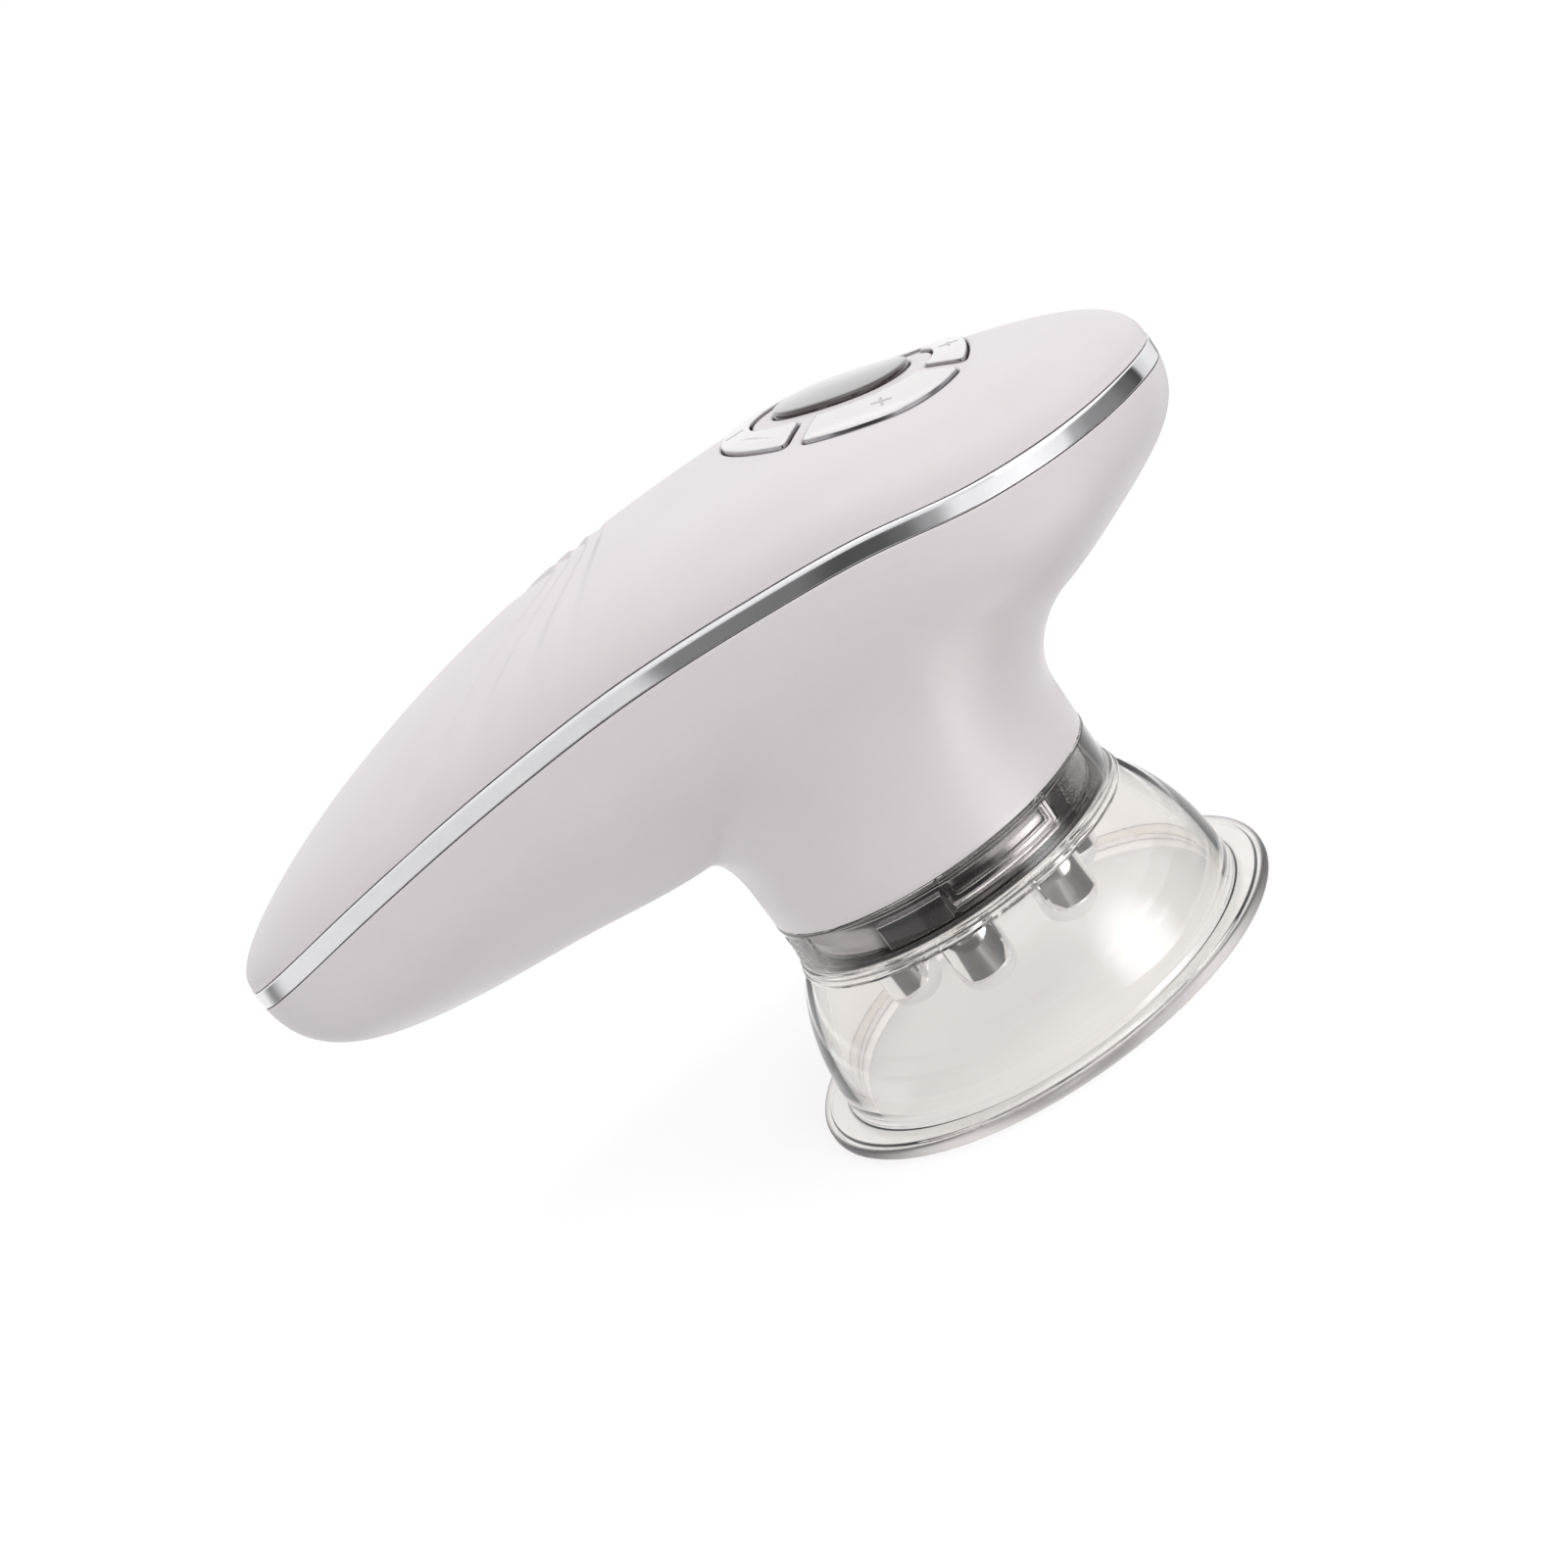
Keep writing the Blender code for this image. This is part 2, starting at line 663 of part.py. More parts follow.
def top_rings():
    """Rings of the crown, from the seam to the pole over the cup's axis."""
    rings = [np.stack([OUTLINE_X, OUTLINE_Y, seam_height(OUTLINE_X)], 1).tolist()]
    for share in TOP_RING_SHARES[:-1]:
        x, y = scaled_ring(share)
        rings.append(np.stack([x, y, crown(share, x)], 1).tolist())
    rings.append([(CUP_X, 0.0, crown_at(CUP_X, 0.0))])
    return rings


def underside(x, y):
    """Height of the underside over points in plan, with the neck's flare."""
    share = np.minimum(outline_share(x, y), 1.0)
    radius = np.hypot(x - CUP_X, y)
    depth = UNDER_DEPTH * along(DEPTH_SHARES, from_tail(x))
    pebble = seam_height(x) - depth * (1 - share**UNDER_POWER) ** (1 / UNDER_POWER)
    front = (1 + (x - CUP_X) / radius) / 2
    room = FLARE_MOST_SHARE * (radius / share - NECK_RADIUS)
    reach = np.minimum(FLARE_REAR + (FLARE_FRONT - FLARE_REAR) * front, room)
    u = np.clip((radius - NECK_RADIUS) / reach, 0, 1)
    return FLARE_BOTTOM + (pebble - FLARE_BOTTOM) * np.sqrt(u * (2 - u))


def under(share):
    """Points of the underside where the outline is scaled by share, which may differ by column."""
    x, y = scaled_ring(share)
    return np.stack([x, y, underside(x, y)], 1)


def floor_foot(x, y):
    """Height in the middle of the lower housing's wall, where what stands on the floor starts."""
    return float(underside(x, y)) + WALL / 2


def edge_share(drop):
    """Share of the outline at which the underside lies drop below the seam."""
    depth = UNDER_DEPTH * along(DEPTH_SHARES, from_tail(OUTLINE_X))
    return (1 - (drop / depth) ** UNDER_POWER) ** (1 / UNDER_POWER)


LOWER_DROP = BAND_HEIGHT + 2 * GAP


def under_rings():
    """Rings of the underside, from the neck's lower edge to the trim band."""
    across = np.stack([np.cos(OUTLINE_ANGLE), np.sin(OUTLINE_ANGLE)], 1) * NECK_RADIUS + (CUP_X, 0.0)
    rings = [
        np.column_stack([across, np.full(COLUMNS, height)]).tolist() for height in (NECK_BOTTOM, FLARE_BOTTOM)
    ]
    first = np.arcsin((NECK_RADIUS / OUTLINE_RADIUS) ** (UNDER_POWER / 2))
    last = np.arcsin(edge_share(LOWER_DROP + RIM_LAND) ** (UNDER_POWER / 2))
    for i in range(1, UNDER_RINGS + 1):
        eased_in = (1 - math.cos(i * math.pi / UNDER_RINGS)) / 2
        turn = first + (last - first) * eased_in
        rings.append(under(np.sin(turn) ** (2 / UNDER_POWER)).tolist())
    rings.append([(x, y, z + RIM_LAND) for x, y, z in rings[-1]])
    return rings


def shell(name, rings):
    """An open lofted surface given its wall on the inside."""
    obj = loft(name, rings, WHITE_SHELL, caps=False)
    wall = obj.modifiers.new("wall", "SOLIDIFY")
    wall.thickness = WALL
    wall.offset = -1.0
    wall.use_even_offset = True
    return obj


def tail_wall(height):
    """Where the underside meets a height at the end of the handle, on the middle plane."""
    low, high = -HALF_LENGTH, 0.0
    for _ in range(SEARCH_ROUNDS):
        middle = (low + high) / 2
        low, high = (middle, high) if underside(middle, 0.0) > height else (low, middle)
    return low


SOCKET_FACE = tail_wall(SOCKET_LEVEL) + SOCKET_RECESS
CHARGE_BOARD_FRONT = SOCKET_FACE + CHARGE_BOARD_INSET + CHARGE_BOARD_LENGTH
CHARGE_BOARD_X = CHARGE_BOARD_FRONT - CHARGE_BOARD_LENGTH / 2
BATTERY_LENGTH = CUP_X + BATTERY_FRONT - CHARGE_BOARD_FRONT - BATTERY_CLEARANCE
MAIN_BOARD_LENGTH = BATTERY_LENGTH - 2 * MAIN_BOARD_INSET


def pleat_points(number):
    """The route of one pleat over the top of the handle, bowed towards the head at its middle."""
    middle = CUP_X - PLEAT_REACH - number * PLEAT_PITCH
    half_span = PLEAT_HALF_SPAN_SHARE * HANDLE_WIDTH / 2
    lift = PLEAT_WIDTH / 2 - PLEAT_DEPTH
    points = []
    for share in np.linspace(-1, 1, PLEAT_POINTS):
        x, y = middle - PLEAT_SWEEP * share**2, half_span * share
        points.append((x, y, crown_facet_at(x, y) + lift + PLEAT_DEPTH * share**4))
    return points


def panel_frame():
    """The place and the tilt of the panel, whose own Z stands square to the crown."""
    x = CUP_X + PANEL_REACH
    fall = (crown_at(x + LENS_RADIUS, 0.0) - crown_at(x - LENS_RADIUS, 0.0)) / (2 * LENS_RADIUS)
    return Vector((x, 0.0, crown_at(x, 0.0))), -math.atan(fall)


PANEL_PLACE, PANEL_TILT = panel_frame()
PANEL_TURN = Matrix.Rotation(PANEL_TILT, 3, "Y")


def panel_lift(u, v):
    """Height of the crown over the panel's plane, at the panel's own u and v."""
    lift = 0.0
    for _ in range(LIFT_ROUNDS):
        point = PANEL_PLACE + PANEL_TURN @ Vector((u, v, lift))
        lift += (crown_at(point.x, point.y) - point.z) * math.cos(PANEL_TILT)
    return lift


def ring_places(count, radius, phase=0.0, centre=(0.0, 0.0)):
    """Places spaced evenly round a circle."""
    turns = [phase + i * math.tau / count for i in range(count)]
    return [(centre[0] + radius * math.cos(turn), centre[1] + radius * math.sin(turn)) for turn in turns]


def pins(name, places, radius, low, high, parent=None, steps=PIN_STEPS):
    """Upright cylinders at several places, as one feature; low may be a function of x and y."""
    bm = bmesh.new()
    for x, y in places:
        made = bmesh.ops.create_cone(
            bm, cap_ends=True, segments=steps, radius1=radius, radius2=radius, depth=1.0,
            matrix=Matrix.Translation((x, y, 0.0)),
        )
        for vert in made["verts"]:
            foot = low(vert.co.x, vert.co.y) if callable(low) else low
            vert.co.z = high if vert.co.z > 0 else foot
    return from_bmesh(name, bm, parent=parent)


def rib(name, x, thickness, half_width, top):
    """An upright rib across the lower housing, whose foot follows the floor."""

    def place(along_x, across, up):
        point_x = x + thickness * (along_x - 0.5)
        y = half_width * (2 * across - 1)
        return Vector((point_x, y, top if up > 0 else floor_foot(point_x, y)))

    return bent_slab(name, (1, RIB_STEPS), place)


def screw(name, centre, seat, length, head_down, finish=STEEL, parent=None):
    """A screw with a slotted head that seats at one height, its shank going the other way."""
    obj = turned(
        name,
        [
            (0.0, length), (SCREW_RADIUS, length), (SCREW_RADIUS, 0.0),
            (SCREW_HEAD_RADIUS, 0.0), (SCREW_HEAD_RADIUS, -SCREW_HEAD_HEIGHT), (0.0, -SCREW_HEAD_HEIGHT),
        ],
        finish, parent, SCREW_STEPS,
    )
    obj.location = (*centre, seat)
    obj.rotation_euler = (0.0 if head_down else math.pi, 0.0, 0.0)
    slot_size = (2 * (SCREW_HEAD_RADIUS + OVERRUN), SCREW_SLOT_WIDTH, 2 * SCREW_SLOT_DEPTH)
    cut(obj, box(name + "_slot", slot_size, (0.0, 0.0, -SCREW_HEAD_HEIGHT), parent=obj))
    return obj


def key_ring_reach(angle):
    """Reach of the key ring's outer edge from the middle of the panel, at an angle from its front."""
    power = KEY_RING_FRONT_POWER if math.cos(angle) > 0 else KEY_RING_REAR_POWER
    along = abs(math.cos(angle)) / (KEY_RING_LENGTH / 2)
    across = abs(math.sin(angle)) / (KEY_RING_WIDTH / 2)
    return (along**power + across**power) ** (-1 / power)


def key_slab(name, start, stop, margin, low, proud, finish=None, parent=None):
    """A stretch of the key ring that follows the crown, with its edges moved out by margin."""
    inner = KEY_INNER_RADIUS - margin

    def radius_at(angle, across):
        return inner + (key_ring_reach(angle) + margin - inner) * across

    def place(along_arc, across, up):
        slot = (KEY_SLOT / 2 - margin) / radius_at(start + (stop - start) * along_arc, across)
        angle = start + slot + (stop - start - 2 * slot) * along_arc
        radius = radius_at(angle, across)
        u, v = radius * math.cos(angle), radius * math.sin(angle)
        return Vector((u, v, panel_lift(u, v) + (proud if up > 0 else low)))

    return bent_slab(name, (KEY_STEPS, KEY_STEPS_ACROSS), place, finish, parent)


def make_trim_band():
    """The polished band between the two halves of the body."""
    edges = []
    low = GAP + BAND_HEIGHT
    for inset, drop in ((0.0, GAP), (0.0, low), (BAND_DEPTH, low), (BAND_DEPTH, GAP)):
        x, y = outline(inset)
        share = edge_share(drop)
        x = CUP_X + share * (x - CUP_X)
        edges.append(np.stack([x, share * y, seam_height(OUTLINE_X) - drop], 1).tolist())
    loft("trim_band", edges + edges[:1], POLISHED, caps=False)


def make_top_housing(panel):
    """The crown half with its pleats, the display's window, the keys' slots and the board's bosses."""
    top = shell("top_housing", top_rings())
    for number in range(PLEATS):
        cut(top, tube(f"pleat_{number + 1}", pleat_points(number), PLEAT_WIDTH / 2))
    through = -WALL - OVERRUN
    cut(top, cylinder("lens_window", LENS_RADIUS + GAP, through, OVERRUN, parent=panel, steps=LENS_STEPS))
    for side, start, stop in KEYS:
        cut(top, key_slab(f"slot_{side}", start, stop, GAP, through, OVERRUN, parent=panel))
    places = ring_places(DISPLAY_SCREWS, DISPLAY_SCREW_CIRCLE)
    level = GAP - DISPLAY_BOARD_DEPTH
    bosses = pins(
        "display_bosses", places, BOSS_RADIUS, lambda u, v: panel_lift(u, v) - WALL / 2, level, panel
    )
    join(top, bosses)
    cut(top, pins("display_boss_holes", places, HOLE_RADIUS, level - OVERRUN, level + SCREW_BITE, panel))


def make_lower_housing(battery_axis):
    """The under half with its neck, and what stands on its floor."""
    lower = shell("lower_housing", under_rings())
    join(lower, pins("frame_bosses", frame_boss_places(), BOSS_RADIUS, floor_foot, FRAME_HEIGHT - GAP))
    top = FRAME_HEIGHT - GAP
    cut(lower, pins("frame_boss_holes", frame_boss_places(), HOLE_RADIUS, top - SCREW_BITE, top + OVERRUN))

    places = ring_places(BASE_SCREWS, BASE_SCREW_CIRCLE, BASE_SCREW_PHASE, (CUP_X, 0.0))
    low = BASE_TOP + GAP
    webs = []
    for i in range(BASE_SCREWS):
        turn = BASE_SCREW_PHASE + i * math.tau / BASE_SCREWS
        half = BASE_WEB_WIDTH / 2 / BASE_SCREW_CIRCLE
        webs.append(
            sector(
                f"base_web_{i + 1}", BASE_SCREW_CIRCLE, NECK_RADIUS - WALL / 2, low, low + BASE_WEB_HEIGHT,
                turn - half, turn + half, parent=CUP_AXIS, steps=WEB_STEPS,
            )
        )
    join(lower, *webs, pins("base_bosses", places, BOSS_RADIUS, low, low + BASE_BOSS_HEIGHT))
    cut(lower, pins("base_boss_holes", places, HOLE_RADIUS, low - OVERRUN, low + SCREW_BITE))

    half_width = BATTERY_RADIUS + CRADLE_SIDE
    for number, x in enumerate(cradle_places()):
        join(lower, rib(f"cradle_{number + 1}", x, CRADLE_THICKNESS, half_width, BATTERY_HEIGHT))
    span = (0.0, BATTERY_LENGTH)
    cut(lower, cylinder("battery_bed", BATTERY_RADIUS + GAP, *span, parent=battery_axis, steps=BATTERY_STEPS))
    shelf = CHARGE_BOARD_BOTTOM - GAP
    join(lower, rib("charge_shelf", CHARGE_BOARD_X, CRADLE_THICKNESS, CHARGE_BOARD_WIDTH / 2, shelf))
    hole_size = (2 * SOCKET_LENGTH, SOCKET_WIDTH + 2 * GAP, SOCKET_HEIGHT + 2 * GAP)
    cut(lower, box("socket_hole", hole_size, (SOCKET_FACE, 0.0, SOCKET_LEVEL)))


def frame_boss_places():
    """Where the four bosses under the inner frame stand."""
    return [
        (CUP_X + reach, sign * side)
        for reach, side in (FRAME_BOSS_FRONT, FRAME_BOSS_REAR)
        for sign in (-1, 1)
    ]


def cradle_places():
    """Where the two ribs that hold the battery stand."""
    front = CUP_X + BATTERY_FRONT
    return front - CRADLE_INSET, front - BATTERY_LENGTH + CRADLE_INSET


def bell_radius(height):
    """Outer radius of the cup's bell at a height."""
    share = (height - RIM_THICKNESS) / (COLLAR_BOTTOM - RIM_THICKNESS)
    return COLLAR_RADIUS + (BELL_FOOT_RADIUS - COLLAR_RADIUS) * (1 - share**BELL_POWER)


def make_cup():
    """The clear suction cup: rim, bell, thin collar and bayonet lugs."""
    heights = np.linspace(COLLAR_BOTTOM, RIM_THICKNESS + BELL_FILLET, BELL_RINGS)
    profile = [(COLLAR_RADIUS, COLLAR_TOP)]
    profile += [(bell_radius(height), height) for height in heights]
    foot = bell_radius(RIM_THICKNESS)
    profile += [
        (foot + BELL_FILLET, RIM_THICKNESS),
        (RIM_RADIUS - RIM_ROUNDING, RIM_THICKNESS),
        (RIM_RADIUS, RIM_THICKNESS - RIM_ROUNDING),
        (RIM_RADIUS, RIM_ROUNDING),
        (RIM_RADIUS - RIM_ROUNDING, 0.0),
        (foot - BELL_WALL + RIM_ROUNDING, 0.0),
        (foot - BELL_WALL, RIM_ROUNDING),
    ]
    profile += [(bell_radius(height) - BELL_WALL, height) for height in heights[::-1]]
    profile += [(COLLAR_BORE, COLLAR_BOTTOM), (COLLAR_BORE, COLLAR_TOP)]
    cup = turned("cup", profile, CLEAR, CUP_AXIS, CUP_STEPS)
    low = BASE_BOTTOM + FLANGE_HEIGHT + GAP
    for i, middle in enumerate(lug_middles()):
        start, stop = middle - LUG_ARC / 2, middle + LUG_ARC / 2
        inner, outer = COLLAR_BORE - LUG_DEPTH, COLLAR_BORE + SUNK
        join(cup, sector(f"lug_{i + 1}", inner, outer, low, low + LUG_HEIGHT, start, stop, parent=CUP_AXIS))


def lug_middles():
    """Angles of the middles of the bayonet lugs."""
    return [LUG_MIDDLE + i * math.tau / LUGS for i in range(LUGS)]


def make_base():
    """The base under the neck: ring, seal, plate, its board and the screws that hold the ring."""
    ledge_radius = BASE_BORE - BASE_LEDGE_REACH
    ledge_bottom = BASE_TOP - BASE_LEDGE_THICKNESS
    ring = turned(
        "base_ring",
        [
            (ledge_radius, BASE_TOP), (BASE_RING_RADIUS, BASE_TOP), (BASE_RING_RADIUS, BASE_BOTTOM),
            (BASE_BORE, BASE_BOTTOM), (BASE_BORE, ledge_bottom), (ledge_radius, ledge_bottom),
        ],
        DARK_CHROME, CUP_AXIS, CUP_STEPS,
    )
    inner, outer = BASE_RING_RADIUS - SUNK, BASE_RING_RADIUS + FLANGE_DEPTH
    for i, middle in enumerate(lug_middles()):
        start, stop = middle - LUG_ARC / 2, middle + LUG_ARC / 2
        top = BASE_BOTTOM + FLANGE_HEIGHT
        join(ring, sector(f"flange_{i + 1}", inner, outer, BASE_BOTTOM, top, start, stop, parent=CUP_AXIS))
        stop = start - STOP_CLEARANCE
        start = stop - STOP_ARC
        top = BASE_BOTTOM + STOP_HEIGHT
        join(ring, sector(f"stop_{i + 1}", inner, outer, BASE_BOTTOM, top, start, stop, parent=CUP_AXIS))
    places = ring_places(BASE_SCREWS, BASE_SCREW_CIRCLE, BASE_SCREW_PHASE)
    cut(ring, pins("ledge_holes", places, HOLE_RADIUS, ledge_bottom - OVERRUN, BASE_TOP + OVERRUN, CUP_AXIS))
    for i, place in enumerate(places):
        length = GAP + BASE_LEDGE_THICKNESS + GAP + SCREW_BITE - OVERRUN
        screw(f"base_screw_{i + 1}", place, ledge_bottom - GAP, length, True, parent=CUP_AXIS)

    seal_outer = COLLAR_BORE - GAP
    seal_top = SEAL_BOTTOM + SEAL_THICKNESS
    turned(
        "seal_ring",
        [
            (seal_outer - SEAL_DEPTH, seal_top), (seal_outer, seal_top),
            (seal_outer, SEAL_BOTTOM), (seal_outer - SEAL_DEPTH, SEAL_BOTTOM),
        ],
        SILICONE, CUP_AXIS, CUP_STEPS,
    )

    stems = ring_places(POSTS, POST_CIRCLE, POST_PHASE)
    discs = (
        ("base_plate", BASE_BORE - GAP, PLATE_BOTTOM, PLATE_TOP, WHITE_SHELL),
        ("electrode_board", BASE_BORE - 2 * GAP, ELECTRODE_BOARD_BOTTOM, ELECTRODE_BOARD_TOP, BOARD_GREEN),
    )
    for name, radius, low, high, finish in discs:
        disc = cylinder(name, radius, low, high, finish=finish, parent=CUP_AXIS, steps=DISC_STEPS)
        span = (low - OVERRUN, high + OVERRUN, CUP_AXIS)
        cut(disc, pins(name + "_stem_holes", stems, POST_STEM_RADIUS + GAP, *span))
        hole = NOZZLE_BODY_RADIUS + GAP
        cut(disc, pins(name + "_nozzle_hole", [(0.0, 0.0)], hole, *span, steps=NOZZLE_STEPS))


def make_posts():
    """The electrode posts: round tips below, thin stems up through the plate into the board."""
    top = PLATE_BOTTOM - GAP
    tip = top - POST_LENGTH
    profile = [(0.0, ELECTRODE_BOARD_TOP), (POST_STEM_RADIUS, ELECTRODE_BOARD_TOP)]
    profile += [(POST_STEM_RADIUS, top), (POST_RADIUS, top)]
    for i in range(POST_DOME_RINGS):
        turn = i * math.pi / (2 * POST_DOME_RINGS)
        profile.append((POST_RADIUS * math.cos(turn), tip + POST_DOME * (1 - math.sin(turn))))
    profile.append((0.0, tip))
    for i, centre in enumerate(ring_places(POSTS, POST_CIRCLE, POST_PHASE)):
        turned(f"post_{i + 1}", profile, POLISHED, CUP_AXIS, POST_STEPS, centre)


def smooth_route(start, stop, points):
    """Points of an S-shaped route that leaves and enters upright."""
    start, stop = Vector(start), Vector(stop)
    route = []
    for i in range(points):
        share = i / (points - 1)
        sideways = share * share * (3 - 2 * share)
        point = start.lerp(stop, sideways)
        point.z = start.z + (stop.z - start.z) * share
        route.append(point)
    return [start - Vector((0.0, 0.0, BARB_LENGTH)), *route, stop + Vector((0.0, 0.0, BARB_LENGTH))]


def hose(name, start, stop):
    """A hose pushed over two barbs, from the lower barb's tip to the upper barb's tip."""
    route = smooth_route(start, stop, HOSE_POINTS)
    obj = tube(name, route, HOSE_BORE + HOSE_WALL, SILICONE)
    route[0] = route[0] - Vector((0.0, 0.0, OVERRUN))
    route[-1] = route[-1] + Vector((0.0, 0.0, OVERRUN))
    cut(obj, tube(name + "_bore", route, HOSE_BORE))


def make_nozzle():
    """The suction nozzle in the middle of the plate, with a barb for each hose."""
    low = PLATE_BOTTOM - GAP - NOZZLE_FLANGE
    flange_top = PLATE_BOTTOM - GAP
    nozzle = turned(
        "suction_nozzle",
        [
            (0.0, NOZZLE_TOP), (NOZZLE_BODY_RADIUS, NOZZLE_TOP), (NOZZLE_BODY_RADIUS, flange_top),
            (NOZZLE_RADIUS, flange_top), (NOZZLE_RADIUS, low), (0.0, low),
        ],
        INNER_GREY, CUP_AXIS, NOZZLE_STEPS,
    )
    ports = [(-PORT_OFFSET, 0.0), (PORT_OFFSET, 0.0)]
    barb_top = NOZZLE_TOP + BARB_LENGTH
    join(nozzle, pins("nozzle_barbs", ports, BARB_RADIUS, NOZZLE_TOP - SUNK, barb_top, CUP_AXIS))
    span = (low - OVERRUN, barb_top + OVERRUN)
    cut(nozzle, pins("nozzle_bores", ports, BARB_BORE, *span, CUP_AXIS, BORE_STEPS))
    lower_end = NOZZLE_TOP + GAP + BARB_LENGTH
    upper_end = PUMP_BASE_BOTTOM - GAP - BARB_LENGTH
    hose("pump_tube", (CUP_X - PORT_OFFSET, 0.0, lower_end), (CUP_X + PUMP_X + PORT_OFFSET, 0.0, upper_end))
    upper_end = VALVE_BOTTOM - GAP - BARB_LENGTH
    hose("vent_tube", (CUP_X + PORT_OFFSET, 0.0, lower_end), (CUP_X + VALVE_X, VALVE_Y, upper_end))


def make_frame(shaker_axis):
    """The frame inside the head, which carries the pump, the valve and the vibration motor."""
    length = FRAME_FRONT + FRAME_REAR
    middle = CUP_X + (FRAME_FRONT - FRAME_REAR) / 2
    bm = bmesh.new()
    size = (length, 2 * FRAME_HALF_WIDTH, FRAME_THICKNESS)
    place = Matrix.Translation((middle, 0.0, FRAME_HEIGHT + FRAME_THICKNESS / 2))
    bmesh.ops.create_cube(bm, size=1.0, matrix=place @ Matrix.Diagonal((*size, 1.0)))
    upright = [edge for edge in bm.edges if edge.verts[0].co.xy == edge.verts[1].co.xy]
    bmesh.ops.bevel(
        bm, geom=upright, offset=FRAME_CORNER, segments=FRAME_CORNER_STEPS,
        affect="EDGES", profile=ROUND_PROFILE,
    )
    frame = from_bmesh("inner_frame", bm, INNER_GREY)
    span = (FRAME_HEIGHT - OVERRUN, FRAME_TOP + OVERRUN)
    cut(frame, pins("pump_hole", [(CUP_X + PUMP_X, 0.0)], PUMP_RADIUS + GAP, *span, steps=PUMP_STEPS))
    cut(frame, pins("valve_hole", [(CUP_X + VALVE_X, VALVE_Y)], VALVE_RADIUS + GAP, *span, steps=VALVE_STEPS))
    cut(frame, pins("frame_screw_holes", frame_boss_places(), HOLE_RADIUS, *span))
    saddle_height = SHAKER_CRADLE + SHAKER_RADIUS / 2
    for number, inset in enumerate((SADDLE_INSET, SHAKER_LENGTH - SADDLE_INSET)):
        centre = (CUP_X + SHAKER_REAR + inset, 0.0, FRAME_TOP - SUNK + saddle_height / 2)
        join(frame, box(f"saddle_{number + 1}", (SADDLE_THICKNESS, SADDLE_WIDTH, saddle_height), centre))
    span = (0.0, SHAKER_LENGTH)
    cut(frame, cylinder("shaker_bed", SHAKER_RADIUS + GAP, *span, parent=shaker_axis, steps=SHAKER_STEPS))
    for i, place in enumerate(frame_boss_places()):
        length = GAP + FRAME_THICKNESS + GAP + SCREW_BITE - OVERRUN
        screw(f"frame_screw_{i + 1}", place, FRAME_TOP + GAP, length, False)


